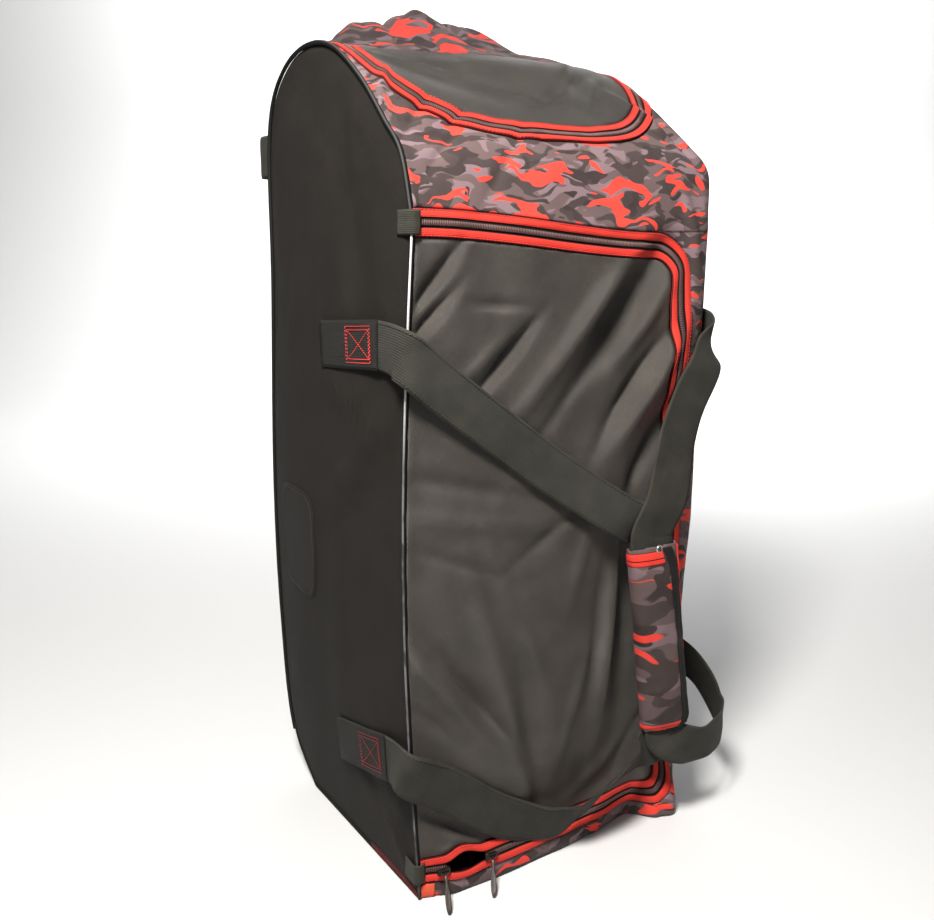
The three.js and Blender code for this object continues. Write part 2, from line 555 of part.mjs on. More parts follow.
// The camouflage strip round the lid
function addGussets() {
  const side = lidLine.filter((step) => step.run === 'side');
  const columns = 4;
  addSheet('gusset_right', columns, side.length - 1, (i, j) => {
    const { x, s } = offset(side[j], BAND + GAP);
    return skin(THREE.MathUtils.lerp(x, seamAt(s), i / columns), s);
  }, CLOTH, CAMO_CLOTH);
  const footRows = rowsBetween(S_UNDER + GAP, LID_ZIP_FOOT - BAND - 2 * GAP);
  const wide = [0, 0.1, 0.25, 0.4, 0.55, 0.68, 0.76, 0.82, 0.87, 0.92, 0.955, 0.98, 1];
  addSheet('gusset_bottom', wide.length - 1, footRows.length - 1, (i, j) => {
    const s = footRows[j];
    return skin(THREE.MathUtils.lerp(leftAt(s), seamAt(s), wide[i]), s);
  }, CLOTH, CAMO_CLOTH);
  const lowAt = (x) => LID_ZIP_TOP + BAND + 2 * GAP - droopAt(x);
  const rows = rowsBetween(lowAt(0), S_CROWN - GAP);
  const heights = rows.map((s) => (s - rows[0]) / (rows[rows.length - 1] - rows[0]));
  const edge = pocketLine.map((step) => offset(step, BAND + 2 * GAP));
  const top = rows[rows.length - 1];
  addSheet('gusset_top', edge.length + 1, rows.length - 1, (i, j) => {
    if (i === 0) return skin(leftAt(rows[j]), rows[j]);
    const last = THREE.MathUtils.lerp(lowAt(WIDTH), top, heights[j]);
    if (i === edge.length + 1) return skin(seamAt(last) - GAP, last);
    const { x, s } = edge[i - 1];
    return skin(x, THREE.MathUtils.lerp(lowAt(x), Math.min(s, top), heights[j]));
  }, CLOTH, CAMO_CLOTH);
}

// The end pocket and its zip
function addPocket() {
  const edge = pocketLine.slice(1, -1).map((step) => offset(step, -(BAND + GAP)));
  const rows = 6;
  const top = S_CROWN - GAP;
  addSheet('pocket_panel', edge.length - 1, rows, (i, j) => {
    const { x, s } = edge[i];
    return skin(x, THREE.MathUtils.lerp(Math.min(s, top - SEAM), top, j / rows));
  }, CLOTH, BLACK_CLOTH);
  const half = COIL / 2 - GAP / 2;
  addBand('pocket_zip_outer', pocketLine, COIL / 2 + GAP / 2, BAND, RED_TAPE);
  addBand('pocket_zip_coil', pocketLine, -half, half, DARK_COIL);
  addBand('pocket_zip_inner', pocketLine, -BAND, -COIL / 2 - GAP / 2, RED_TAPE);
}

// The puffed crown behind the pocket, and the base behind and under the bag
function addBack() {
  const crownRows = rowsBetween(S_CROWN + GAP, sAt('base_top') - GAP);
  const crown = [0, 0.08, 0.16, 0.25, 0.34, 0.43, 0.52, 0.61, 0.7, 0.79, 0.88, 0.94, 1];
  addSheet('gusset_crown', crown.length - 1, crownRows.length - 1, (i, j) => {
    const s = crownRows[j];
    return skin(THREE.MathUtils.lerp(leftAt(s), seamAt(s), crown[i]), s);
  }, CLOTH, CAMO_CLOTH);
  const baseRows = rowsBetween(sAt('base_top') + GAP, S_END - GAP);
  const base = [0, 0.16, 0.33, 0.5, 0.67, 0.84, 0.92, 0.96, 1];
  addSheet('base', base.length - 1, baseRows.length - 1, (i, j) => {
    const s = baseRows[j];
    return skin(THREE.MathUtils.lerp(leftAt(s), seamAt(s), base[i]), s);
  }, CLOTH, BLACK_CLOTH);
}

// One side panel: rings of its rim, drawn in to its middle
function addSidePanel(name, side) {
  const { rim, middle, way } = side;
  const rings = [1, 0.82, 0.58, 0.3];
  const positions = [];
  const faces = [];
  const count = rim.length;
  for (const depth of [0, CLOTH]) {
    for (const ring of rings) {
      for (const p of rim) {
        const x = sideFace(side, p.x, ring) - way * depth;
        const y = THREE.MathUtils.lerp(middle.y, p.y, ring);
        positions.push(new THREE.Vector3(x, y, THREE.MathUtils.lerp(middle.z, p.z, ring)));
      }
    }
    positions.push(new THREE.Vector3(sideFace(side, middle.x, 0) - way * depth, middle.y, middle.z));
  }
  const layer = count * rings.length + 1;
  const both = (a, b, c) => faces.push([a, b, c], [a + layer, c + layer, b + layer]);
  for (let k = 0; k < count; k += 1) {
    const n = (k + 1) % count;
    for (let r = 0; r < rings.length - 1; r += 1) {
      both(r * count + k, r * count + n, (r + 1) * count + n);
      both(r * count + k, (r + 1) * count + n, (r + 1) * count + k);
    }
    both((rings.length - 1) * count + k, (rings.length - 1) * count + n, layer - 1);
    faces.push([n, k, k + layer], [n, k + layer, n + layer]);
  }
  addMesh(name, positions, faces, BLACK_CLOTH);
}

// The edge piping: a thin tube along the seam between a side panel and the wrapping cloth
function addPiping(name, side) {
  const from = stationNames.toe_front;
  const to = stationNames.heel_back;
  const positions = [];
  const faces = [];
  const run = stations.slice(from, to + 1);
  for (const o of run) {
    const inward = side === 'left' ? -GAP : o.round * (1 - Math.cos(TURN)) + SEAM / 2;
    const x = side === 'left' ? leftEdge(o.y, o.z) - GAP : flatEnd(o) + o.round * Math.sin(TURN) + PIPING + 2 * GAP;
    const centre = new THREE.Vector3(x, o.y - o.ny * inward, o.z - o.nz * inward);
    for (let k = 0; k < TUBE_SIDES; k += 1) {
      const a = (2 * Math.PI * k) / TUBE_SIDES;
      const rim = new THREE.Vector3(Math.cos(a), Math.sin(a) * o.ny, Math.sin(a) * o.nz);
      positions.push(centre.clone().addScaledVector(rim, PIPING));
    }
  }
  for (let j = 0; j < run.length - 1; j += 1) {
    for (let k = 0; k < TUBE_SIDES; k += 1) {
      const a = j * TUBE_SIDES + k;
      const b = j * TUBE_SIDES + ((k + 1) % TUBE_SIDES);
      faces.push([a, b, b + TUBE_SIDES], [a, b + TUBE_SIDES, a + TUBE_SIDES]);
    }
  }
  const last = (run.length - 1) * TUBE_SIDES;
  for (let k = 1; k < TUBE_SIDES - 1; k += 1) {
    faces.push([0, k + 1, k], [last, last + k, last + k + 1]);
  }
  addMesh(name, positions, faces, PIPING_CLOTH);
}

// The webbing's width direction from its lean and its turn about the upright
function widthWay(lean, face) {
  const side = Math.sin(rad(lean));
  return new THREE.Vector3(side * Math.cos(rad(face)), side * Math.sin(rad(face)), Math.cos(rad(lean)));
}

// A point of a handle route
function routePoint(row) {
  const z = row.up * SIDE_HEIGHT;
  const stand = row.stand * WEBBING;
  if (row.on === 'lid') {
    const x = row.across * WIDTH;
    return new THREE.Vector3(x, -Math.max(liftAt(x, z), 0) - stand, z);
  }
  const y = row.across * DEPTH;
  const faces = [-1, 0, 1].map((edge) => sideX(row.on, y, z + (edge * WEBBING) / 2));
  const x = row.on === 'left' ? Math.min(...faces) - stand : Math.max(...faces) + stand;
  return new THREE.Vector3(x, y, z);
}

// Where the wrap hangs: its top, its foot and the frame of its section
const wrapTop = routePoint({ on: 'lid', ...WRAP_TOP });
const wrapFoot = new THREE.Vector3(wrapTop.x + WRAP_SLANT.across * WIDTH, wrapTop.y, 0);
wrapFoot.z = wrapTop.z - Math.sqrt(WRAP_LENGTH ** 2 - (wrapFoot.x - wrapTop.x) ** 2);
const wrapAxis = wrapFoot.clone().sub(wrapTop).normalize();
const wrapFace = new THREE.Vector3().crossVectors(wrapAxis, widthWay(90, WRAP_FACE)).normalize();
const wrapWide = new THREE.Vector3().crossVectors(wrapFace, wrapAxis).normalize();

// One handle: down its upper route, through the wrap and along its lower route
function addHandle(name, upper, lower, side) {
  const layer = side * STRAP_LAYER;
  const rows = upper.map((row) => ({ point: routePoint(row), wide: widthWay(row.lean, row.face) }));
  for (const { share, apart } of WRAP_ROUTE) {
    const point = wrapTop.clone().lerp(wrapFoot, share).addScaledVector(wrapFace, layer * apart);
    rows.push({ point, wide: wrapWide.clone() });
  }
  rows.push(...lower.map((row) => ({ point: routePoint(row), wide: widthWay(row.lean, row.face) })));
  rows.slice(1).forEach((row, i) => {
    if (row.wide.dot(rows[i].wide) < 0) row.wide.negate();
  });
  const path = new THREE.CatmullRomCurve3(rows.map((row) => row.point), false, 'centripetal');
  const steps = [];
  const count = (rows.length - 1) * ROUTE_STEPS;
  for (let k = 0; k <= count; k += 1) {
    const t = k / count;
    const i = Math.min(Math.floor(k / ROUTE_STEPS), rows.length - 2);
    const wide = rows[i].wide.clone().lerp(rows[i + 1].wide, k / ROUTE_STEPS - i);
    const way = path.getTangent(t);
    wide.addScaledVector(way, -wide.dot(way)).normalize();
    steps.push({ point: path.getPoint(t), wide, normal: new THREE.Vector3().crossVectors(way, wide) });
  }
  addStrip(name, steps, WEBBING, WEB_THICK, WEBBING_CLOTH);
}

// The padded wrap: a flattened tube round both straps, open at both ends
function addWrap() {
  const sides = 18;
  const rings = [0, 0.1, 0.35, 0.65, 0.9, 1];
  const bore = { wide: WEBBING / 2 + 2 * GAP, thick: STRAP_LAYER + WEB_THICK / 2 + 2 * GAP };
  const positions = [];
  const faces = [];
  const put = (at, wide, thick, power) => {
    for (let k = 0; k < sides; k += 1) {
      const a = (2 * Math.PI * (k + 0.5)) / sides;
      const c = Math.sign(Math.cos(a)) * Math.abs(Math.cos(a)) ** (2 / power);
      const d = Math.sign(Math.sin(a)) * Math.abs(Math.sin(a)) ** (2 / power);
      const p = wrapTop.clone().lerp(wrapFoot, at);
      positions.push(p.addScaledVector(wrapWide, c * wide).addScaledVector(wrapFace, d * thick));
    }
  };
  const pad = WRAP_THICK / 2;
  const mouth = (at) => at === 0 || at === 1;
  rings.forEach((at) => put(at, bore.wide + WRAP_SIDE, pad * (mouth(at) ? WRAP_TAPER : 1), WRAP_SQUARENESS));
  rings.forEach((at) => {
    const wide = bore.wide + (mouth(at) ? WRAP_SIDE / 2 : 0);
    put(at, wide, bore.thick * (mouth(at) ? BORE_FLARE : 1), BORE_SQUARENESS);
  });
  const layer = rings.length * sides;
  for (let k = 0; k < sides; k += 1) {
    const n = (k + 1) % sides;
    for (let r = 0; r < rings.length - 1; r += 1) {
      const a = r * sides;
      const b = a + sides;
      faces.push([a + k, a + n, b + n], [a + k, b + n, b + k]);
      faces.push([layer + a + k, layer + b + n, layer + a + n], [layer + a + k, layer + b + k, layer + b + n]);
    }
    const end = (rings.length - 1) * sides;
    faces.push([n, k, layer + k], [n, layer + k, layer + n]);
    faces.push([end + k, end + n, layer + end + n], [end + k, layer + end + n, layer + end + k]);
  }
  addMesh('handle_wrap', positions, faces, CAMO_CLOTH);
}

// The rear handle: webbing from seam to seam, standing off the upper base
function addRearHandle() {
  const z = REAR_HANDLE_UP * SIDE_HEIGHT;
  const under = stations.slice(stationNames.base_top).find((o) => o.z < z - WEBBING / 2);
  const back = under.y + GAP + WEB_THICK / 2;
  const points = REAR_HANDLE.map((row) => new THREE.Vector3(row.x * WIDTH, back + row.out * REAR_STAND, z));
  const path = new THREE.CatmullRomCurve3(points, false, 'centripetal');
  const count = (points.length - 1) * ROUTE_STEPS;
  const steps = [];
  for (let k = 0; k <= count; k += 1) {
    const way = path.getTangent(k / count);
    const wide = new THREE.Vector3(0, 0, 1);
    steps.push({ point: path.getPoint(k / count), wide, normal: new THREE.Vector3().crossVectors(way, wide) });
  }
  addStrip('rear_handle', steps, WEBBING, WEB_THICK, WEBBING_CLOTH);
}

// A webbing tab folded over the left piping at the end of the lid zip
function addTab(name, z) {
  const out = PIPING + GAP + WEB_THICK;
  const edge = leftEdge(0, z);
  const path = [
    new THREE.Vector3(sideX('left', TAB_REACH, z) - WEB_THICK, TAB_REACH, z),
    new THREE.Vector3(edge - out, PIPING + WEB_THICK, z),
    new THREE.Vector3(edge - out, 0, z),
    new THREE.Vector3(edge - out * Math.SQRT1_2, -out * Math.SQRT1_2, z),
    new THREE.Vector3(edge, -out, z),
    new THREE.Vector3(edge + SEAM + out, -out, z),
  ];
  const up = new THREE.Vector3(0, 0, 1);
  const steps = path.map((point, i) => {
    const way = path[Math.min(i + 1, path.length - 1)].clone().sub(path[Math.max(i - 1, 0)]).normalize();
    return { point, wide: up, normal: new THREE.Vector3().crossVectors(way, up) };
  });
  addStrip(name, steps, TAB_WIDTH, WEB_THICK / 2, WEBBING_CLOTH);
}

// A zip slider with its moulded pull, whose tip leans forward on the floor in the direction tip
function addSlider(suffix, x, tip) {
  const seat = [-1, 0, 1].flatMap((end) => [-1, 1].map((edge) => (
    skin(x + (end * SLIDER_LENGTH) / 2, LID_ZIP_FOOT + (edge * SLIDER_WIDTH) / 2).point.y
  )));
  const face = Math.min(...seat) - GAP;
  const body = new THREE.Shape();
  const half = SLIDER_WIDTH / 2;
  const nose = SLIDER_LENGTH / 2;
  body.moveTo(-nose, -half * 0.6);
  body.lineTo(0, -half);
  body.lineTo(nose, -half * 0.8);
  body.lineTo(nose, half * 0.8);
  body.lineTo(0, half);
  body.lineTo(-nose, half * 0.6);
  body.closePath();
  const geometry = new THREE.ExtrudeGeometry(body, { depth: SLIDER_THICK, bevelEnabled: false });
  geometry.rotateX(Math.PI / 2);
  const slider = new THREE.Mesh(geometry, new THREE.MeshStandardMaterial(BLACK_METAL));
  slider.name = `slider_${suffix}`;
  slider.position.set(x, face, LID_ZIP_FOOT);
  bag.add(slider);
  const from = new THREE.Vector3(x, face - SLIDER_THICK - GAP - PULL_THICK / 2, LID_ZIP_FOOT - half / 2);
  const low = PULL_THICK / 2 + GAP;
  const way = new THREE.Vector3(tip.x, tip.y, 0).normalize();
  const drop = from.z - low;
  const to = from.clone().addScaledVector(way, Math.sqrt(PULL_LENGTH ** 2 - drop ** 2));
  to.z = low;
  const along = to.clone().sub(from).normalize();
  const wide = new THREE.Vector3().crossVectors(along, new THREE.Vector3(0, 0, 1)).normalize();
  const normal = new THREE.Vector3().crossVectors(along, wide);
  const widths = [0.55, 0.7, 0.55, 1, 1, 0.5];
  const places = [0, 0.12, 0.26, 0.42, 0.88, 1];
  const positions = [];
  const faces = [];
  places.forEach((share, i) => {
    for (const [a, b] of [[-1, -0.5], [-0.6, -1], [0.6, -1], [1, -0.5], [1, 0.5], [0.6, 1], [-0.6, 1], [-1, 0.5]]) {
      const p = from.clone().lerp(to, share);
      p.addScaledVector(wide, (a * widths[i] * PULL_WIDTH) / 2);
      positions.push(p.addScaledVector(normal, (b * PULL_THICK) / 2));
    }
  });
  for (let j = 0; j < places.length - 1; j += 1) {
    for (let k = 0; k < 8; k += 1) {
      const a = j * 8 + k;
      const b = j * 8 + ((k + 1) % 8);
      faces.push([a, b, b + 8], [a, b + 8, a + 8]);
    }
  }
  const last = (places.length - 1) * 8;
  for (let k = 1; k < 7; k += 1) faces.push([0, k + 1, k], [last, last + k, last + k + 1]);
  addMesh(`pull_${suffix}`, positions, faces, BLACK_METAL);
}

// A flat patch with rounded corners laid on a surface: place(u, v) takes shares of its half sizes
function addPatch(name, place, finish) {
  const sides = 16;
  const power = 2 / PATCH_SQUARENESS;
  const positions = [];
  const faces = [];
  for (const depth of [0, PATCH_THICK]) {
    for (let k = 0; k < sides; k += 1) {
      const a = (2 * Math.PI * (k + 0.5)) / sides;
      const u = Math.sign(Math.cos(a)) * Math.abs(Math.cos(a)) ** power;
      const v = Math.sign(Math.sin(a)) * Math.abs(Math.sin(a)) ** power;
      const { point, normal } = place(u, v);
      positions.push(point.clone().addScaledVector(normal, PATCH_THICK + 2 * GAP - depth));
    }
    const { point, normal } = place(0, 0);
    positions.push(point.clone().addScaledVector(normal, PATCH_THICK + 2 * GAP - depth));
  }
  const layer = sides + 1;
  for (let k = 0; k < sides; k += 1) {
    const n = (k + 1) % sides;
    faces.push([k, n, sides], [k + layer, sides + layer, n + layer]);
    faces.push([n, k, k + layer], [n, k + layer, n + layer]);
  }
  addMesh(name, positions, faces, finish);
}

function addPatches() {
  addPatch('flank_patch', (u, v) => {
    const y = FLANK_PATCH_AT.across * DEPTH + (u * FLANK_PATCH_WIDTH) / 2;
    const z = FLANK_PATCH_AT.up * SIDE_HEIGHT + (v * FLANK_PATCH_HEIGHT) / 2;
    return { point: new THREE.Vector3(sideX('left', y, z), y, z), normal: new THREE.Vector3(-1, 0, 0) };
  }, PATCH_CLOTH);
}

addLid();
addGussets();
addPocket();
addBack();
addSidePanel('side_panel_left', sides.left);
addSidePanel('side_panel_right', sides.right);
addPiping('piping_left', 'left');
addPiping('piping_right', 'right');
addHandle('handle_left', LEFT_UPPER, LEFT_LOWER, -1);
addHandle('handle_right', RIGHT_UPPER, RIGHT_LOWER, 1);
addWrap();
addRearHandle();
addTab('seam_tab_top', LID_ZIP_TOP);
addTab('seam_tab_bottom', LID_ZIP_FOOT);
addSlider('left', LENS_START - SLIDER_LENGTH / 2, new THREE.Vector2(-0.4, -1));
addSlider('right', LENS_START + LENS_LENGTH + SLIDER_LENGTH / 2, new THREE.Vector2(-0.6, -1));
addPatches();

// The origin is the middle of the bag's box, on the floor
bag.updateMatrixWorld(true);
const box = new THREE.Box3().setFromObject(bag);
const middle = box.getCenter(new THREE.Vector3());
bag.position.set(-middle.x, -middle.y, -box.min.z);

export default bag;
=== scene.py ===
"""The looks of a tall padded kit bag that stands on its end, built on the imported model."""

import logging
import math
from dataclasses import dataclass, field
from enum import Enum
from typing import Callable, Optional, Sequence, Union

import bpy
from mathutils import Euler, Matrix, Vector, noise
from mathutils.bvhtree import BVHTree

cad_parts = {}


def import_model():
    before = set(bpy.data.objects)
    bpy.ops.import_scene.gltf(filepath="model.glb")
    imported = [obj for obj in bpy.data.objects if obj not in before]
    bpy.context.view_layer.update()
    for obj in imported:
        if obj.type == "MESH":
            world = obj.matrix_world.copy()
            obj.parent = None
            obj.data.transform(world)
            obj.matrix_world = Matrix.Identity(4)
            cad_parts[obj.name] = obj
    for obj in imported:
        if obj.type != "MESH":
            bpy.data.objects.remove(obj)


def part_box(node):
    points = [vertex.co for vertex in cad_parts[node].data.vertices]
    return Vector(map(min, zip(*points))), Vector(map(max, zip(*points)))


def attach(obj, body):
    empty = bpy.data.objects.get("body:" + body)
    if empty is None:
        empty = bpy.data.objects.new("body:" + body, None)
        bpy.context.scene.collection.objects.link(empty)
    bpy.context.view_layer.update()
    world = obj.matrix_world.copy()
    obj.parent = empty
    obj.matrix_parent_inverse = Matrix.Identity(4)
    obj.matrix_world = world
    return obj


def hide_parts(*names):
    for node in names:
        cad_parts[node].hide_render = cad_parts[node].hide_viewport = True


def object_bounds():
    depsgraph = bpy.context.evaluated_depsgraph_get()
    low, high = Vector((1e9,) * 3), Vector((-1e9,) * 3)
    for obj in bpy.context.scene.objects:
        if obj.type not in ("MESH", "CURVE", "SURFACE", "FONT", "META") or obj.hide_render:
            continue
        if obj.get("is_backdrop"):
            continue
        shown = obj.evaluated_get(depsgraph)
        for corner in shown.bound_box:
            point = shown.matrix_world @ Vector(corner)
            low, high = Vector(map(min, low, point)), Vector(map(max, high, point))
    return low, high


LOG = logging.getLogger("kit_bag")
BODY = "root"
NO_STOP = 9.0
ZIP_STEP = 0.0045
STITCH_RAISE = 0.0013
STITCH_INSET = 0.002
TAPE_LAP = 0.0006
Number = Union[int, float]
Colour = tuple[float, float, float]
Spot = tuple[float, float]
GridPoint = tuple[Vector, Spot]
Piece = bpy.types.Object


@dataclass(frozen=True)
class Sizes:
    """The bag's driving sizes in metres, as the solids have them."""

    width: float = 0.394
    depth: float = 0.378
    height: float = 0.905
    cloth: float = 0.0024
    gap: float = 0.00035
    edge_bow: float = 0.015
    side_bulge: float = 0.014
    corner_round: float = 0.024
    corner_turn: float = math.radians(80)
    edge_fade: float = 0.06
    floor_fade: float = 0.09
    foot_hem: float = 0.016
    foot_fade: float = 0.078
    tape: float = 0.0095
    coil: float = 0.0095
    zip_top: float = 0.715
    zip_foot: float = 0.034
    zip_droop: float = 0.021
    zip_inset: float = 0.05
    zip_round: float = 0.034
    lens_start: float = 0.03
    lens_length: float = 0.044
    pocket_depth: float = 0.18
    pocket_left: float = 0.021
    pocket_right: float = 0.011
    pocket_squareness: float = 3.0
    piping: float = 0.0024
    webbing: float = 0.05
    web_thick: float = 0.0022
    wrap_thick: float = 0.03
    wrap_side: float = 0.0035
    wrap_length: float = 0.232
    rear_stand: float = 0.048

    @property
    def seam(self) -> float:
        """From a corner seam to the edge of each panel."""
        return self.piping + self.gap

    @property
    def band(self) -> float:
        """Half the width of a whole zip."""
        return self.tape + self.coil / 2


SIZE = Sizes()


@dataclass(frozen=True)
class OutlineRow:
    """A row of the side outline: shares of depth, height, width and corner radius."""

    at: str
    y: float
    z: float
    right: float
    facets: int
    round: float
    straight: bool = False


OUTLINE = [OutlineRow(*row) for row in (
    ("under", 0.476, 0, 0.947, 2, 0.35, True), ("toe_back", 0.035, 0, 0.947, 2, 0.35),
    ("toe", 0.006, 0.002, 0.947, 1, 0.35), ("toe_front", 0, 0.009, 0.947, 1, 0.4, True),
    ("cuff", 0, 0.1, 0.962, 2, 1, True), ("shin", 0, 0.28, 0.972, 1, 1, True),
    ("waist", 0, 0.42, 0.994, 2, 1, True), ("shoulder", 0, 0.79, 1.01, 2, 1),
    ("shoulder_turn", 0.058, 0.863, 1.052, 2, 1), ("brow", 0.138, 0.896, 1.05, 2, 1),
    ("brow_back", 0.262, 0.944, 1.015, 2, 1), ("rise", 0.423, 0.987, 1, 1, 1),
    ("crown", 0.534, 1, 1, 2, 1), ("crown_back", 0.661, 1, 1, 2, 1), ("nape", 0.78, 0.985, 1, 2, 1),
    ("nape_turn", 0.874, 0.955, 1, 1, 1), ("base_top", 0.925, 0.907, 1, 3, 0.8),
    ("base_upper", 0.943, 0.72, 1, 3, 0.8), ("base_full", 1, 0.42, 0.99, 2, 0.8),
    ("base_low", 0.982, 0.229, 0.97, 3, 0.8), ("heel_back", 0.9, 0.06, 0.95, 3, 0.5),
    ("heel", 0.73, 0, 0.947, 2, 0.35, True),
)]

# The foot's front edge: shares of the width, and how far it stands forward in shares of the depth
FOOT_EDGE = [
    (0, 0), (0.1, 0.036), (0.24, 0.038), (0.45, 0.027), (0.6, 0.014),
    (0.76, -0.016), (0.83, 0.055), (0.88, 0.07), (0.95, 0), (1.2, 0),
]


@dataclass(frozen=True)
class Fold:
    """A swell or fold: its middle and half sizes in shares, its turn in degrees and its lift in metres."""

    across: float
    up: float
    long: float
    wide: float
    turn: float
    lift: float
    sharp: float = 2.0


DEEP = SIZE.depth
SWELLS = [Fold(*row) for row in (
    (0.5, 0.4, 0.75, 0.5, 90, 0.028 * DEEP), (0.36, 0.24, 0.45, 0.14, 100, 0.018 * DEEP),
    (0.76, 0.3, 0.5, 0.11, 88, -0.03 * DEEP), (0.66, 0.63, 0.36, 0.085, 52, -0.028 * DEEP),
    (0.78, 0.62, 0.32, 0.08, 55, 0.02 * DEEP), (0.3, 0.13, 0.3, 0.09, -42, 0.018 * DEEP),
    (0.46, 1.22, 0.38, 0.15, 0, 0.222 * DEEP), (0.93, 1.2, 0.12, 0.15, 0, 0.045 * DEEP),
    (0.7, 1.07, 0.25, 0.13, 0, 0.02 * DEEP), (0.35, 1.03, 0.25, 0.1, -20, -0.03 * DEEP),
    (0.5, 1.62, 0.6, 0.4, 90, 0.02 * DEEP),
)]

# Finer folds of the lid, the pocket and the crown, which the solids leave out
FOLDS = [Fold(*row) for row in (
    (0.655, 0.69, 0.2, 0.042, 49, -0.025, 1.8), (0.74, 0.675, 0.18, 0.032, 50, 0.011),
    (0.57, 0.7, 0.16, 0.03, 46, 0.008), (0.71, 0.6, 0.17, 0.027, 50, -0.018, 1.6),
    (0.77, 0.6, 0.16, 0.026, 52, 0.009), (0.8, 0.535, 0.17, 0.034, 58, -0.018, 1.8),
    (0.83, 0.56, 0.16, 0.024, 66, 0.006), (0.055, 0.728, 0.1, 0.016, 50, -0.012, 1.5),
    (0.045, 0.69, 0.09, 0.014, 44, -0.01, 1.5), (0.25, 0.7025, 0.08, 0.009, -4, -0.006, 1.4),
    (0.27, 0.645, 0.11, 0.016, 45, -0.014, 1.5), (0.19, 0.64, 0.08, 0.016, 40, 0.003),
    (0.4, 0.62, 0.2, 0.028, 44, 0.005), (0.47, 0.59, 0.2, 0.024, 44, -0.005, 1.6),
    (0.15, 0.5, 0.2, 0.024, -14, -0.005, 1.5), (0.2, 0.455, 0.25, 0.026, -10, 0.0035),
    (0.13, 0.41, 0.16, 0.018, -24, -0.0045, 1.5), (0.4, 0.43, 0.14, 0.022, 30, -0.005, 1.5),
    (0.52, 0.4, 0.16, 0.024, 74, 0.004), (0.3, 0.33, 0.28, 0.03, 112, 0.004),
    (0.26, 0.22, 0.32, 0.034, 104, 0.011), (0.35, 0.19, 0.28, 0.034, 100, -0.012, 1.7),
    (0.09, 0.25, 0.18, 0.024, -52, 0.011, 1.7), (0.17, 0.24, 0.22, 0.024, -54, -0.014, 1.5),
    (0.04, 0.225, 0.11, 0.016, -44, -0.005, 1.5), (0.08, 0.09, 0.14, 0.016, -38, -0.007, 1.5),
    (0.15, 0.06, 0.12, 0.018, -34, 0.005), (0.63, 0.27, 0.26, 0.026, 84, 0.01),
    (0.7, 0.3, 0.32, 0.034, 88, -0.016, 1.7), (0.58, 0.28, 0.24, 0.024, 84, -0.006, 1.6),
    (0.51, 0.21, 0.2, 0.022, 70, 0.004), (0.62, 0.1, 0.14, 0.024, 30, 0.005),
    (0.75, 0.13, 0.12, 0.02, 52, -0.005, 1.5), (0.8, 0.2, 0.14, 0.02, 75, 0.004),
    (0.62, 1.0, 0.22, 0.02, 30, -0.006, 1.5), (0.45, 1.02, 0.2, 0.018, -28, -0.005, 1.5),
    (0.72, 1.04, 0.12, 0.018, 60, 0.005), (0.78, 1.0, 0.16, 0.018, 52, -0.005, 1.5),
    (0.3, 1.05, 0.2, 0.022, -18, 0.005), (0.22, 0.93, 0.1, 0.014, 40, -0.004, 1.4),
    (0.32, 0.87, 0.14, 0.016, 50, -0.004, 1.5), (0.55, 0.86, 0.12, 0.014, -46, -0.0035, 1.5),
    (0.33, 1.2, 0.12, 0.022, 66, -0.01, 1.5), (0.45, 1.21, 0.13, 0.02, 92, 0.008, 1.6),
    (0.52, 1.2, 0.12, 0.02, 100, -0.01, 1.5), (0.64, 1.19, 0.12, 0.024, 120, 0.007),
    (0.74, 1.2, 0.12, 0.02, 110, -0.009, 1.5), (0.2, 1.19, 0.12, 0.024, 50, 0.006),
    (0.14, 1.2, 0.1, 0.018, 46, -0.006, 1.5), (0.9, 0.96, 0.12, 0.02, 120, 0.005),
    (0.96, 0.92, 0.14, 0.018, 100, -0.0055, 1.5), (0.92, 0.78, 0.12, 0.018, 100, 0.005),
    (0.05, 0.98, 0.12, 0.016, 60, 0.004), (0.1, 0.93, 0.1, 0.014, 50, -0.005, 1.5),
    (0.14, 0.88, 0.09, 0.014, 46, -0.0045, 1.5),
)]

# Folds of the left side panel: across is the share of depth, up of height, and lift points outwards
SIDE_FOLDS = [Fold(*row) for row in (
    (0.2, 0.572, 0.26, 0.03, 22, 0.005), (0.15, 0.5, 0.24, 0.03, -34, -0.006, 1.6),
    (0.22, 0.53, 0.2, 0.03, -36, 0.004), (0.3, 0.8, 0.3, 0.06, 70, -0.004),
    (0.45, 0.72, 0.3, 0.05, 80, 0.003), (0.18, 0.88, 0.2, 0.04, 40, 0.003),
    (0.4, 0.3, 0.4, 0.07, 95, 0.003), (0.25, 0.12, 0.2, 0.04, 30, -0.004),
    (0.1, 0.06, 0.16, 0.03, 50, 0.003),
)]


def smooth(x: float, low: float, high: float) -> float:
    """Returns x eased from 0 at low to 1 at high."""
    t = min(max((x - low) / (high - low), 0.0), 1.0)
    return t * t * (3 - 2 * t)


def powered(value: float, power: float) -> float:
    """Returns the power of a value's size, with the value's sign."""
    return math.copysign(abs(value) ** power, value)


def angles(lanes: int) -> list[float]:
    """Returns the angles of as many points round a ring as lanes."""
    return [2 * math.pi * k / lanes for k in range(lanes)]


def tube_sides(rings: int, lanes: int) -> list[tuple[int, ...]]:
    """Returns the faces of an open tube, of rings with as many points each as lanes."""
    faces: list[tuple[int, ...]] = []
    for j in range(rings - 1):
        for k in range(lanes):
            n = (k + 1) % lanes
            faces.append((j * lanes + k, j * lanes + n, (j + 1) * lanes + n, (j + 1) * lanes + k))
    return faces


def tube_faces(rings: int, lanes: int) -> list[tuple[int, ...]]:
    """Returns the faces of a tube that is closed at both ends."""
    faces = tube_sides(rings, lanes)
    end = (rings - 1) * lanes
    faces.append(tuple(range(lanes - 1, -1, -1)))
    faces.append(tuple(end + k for k in range(lanes)))
    return faces


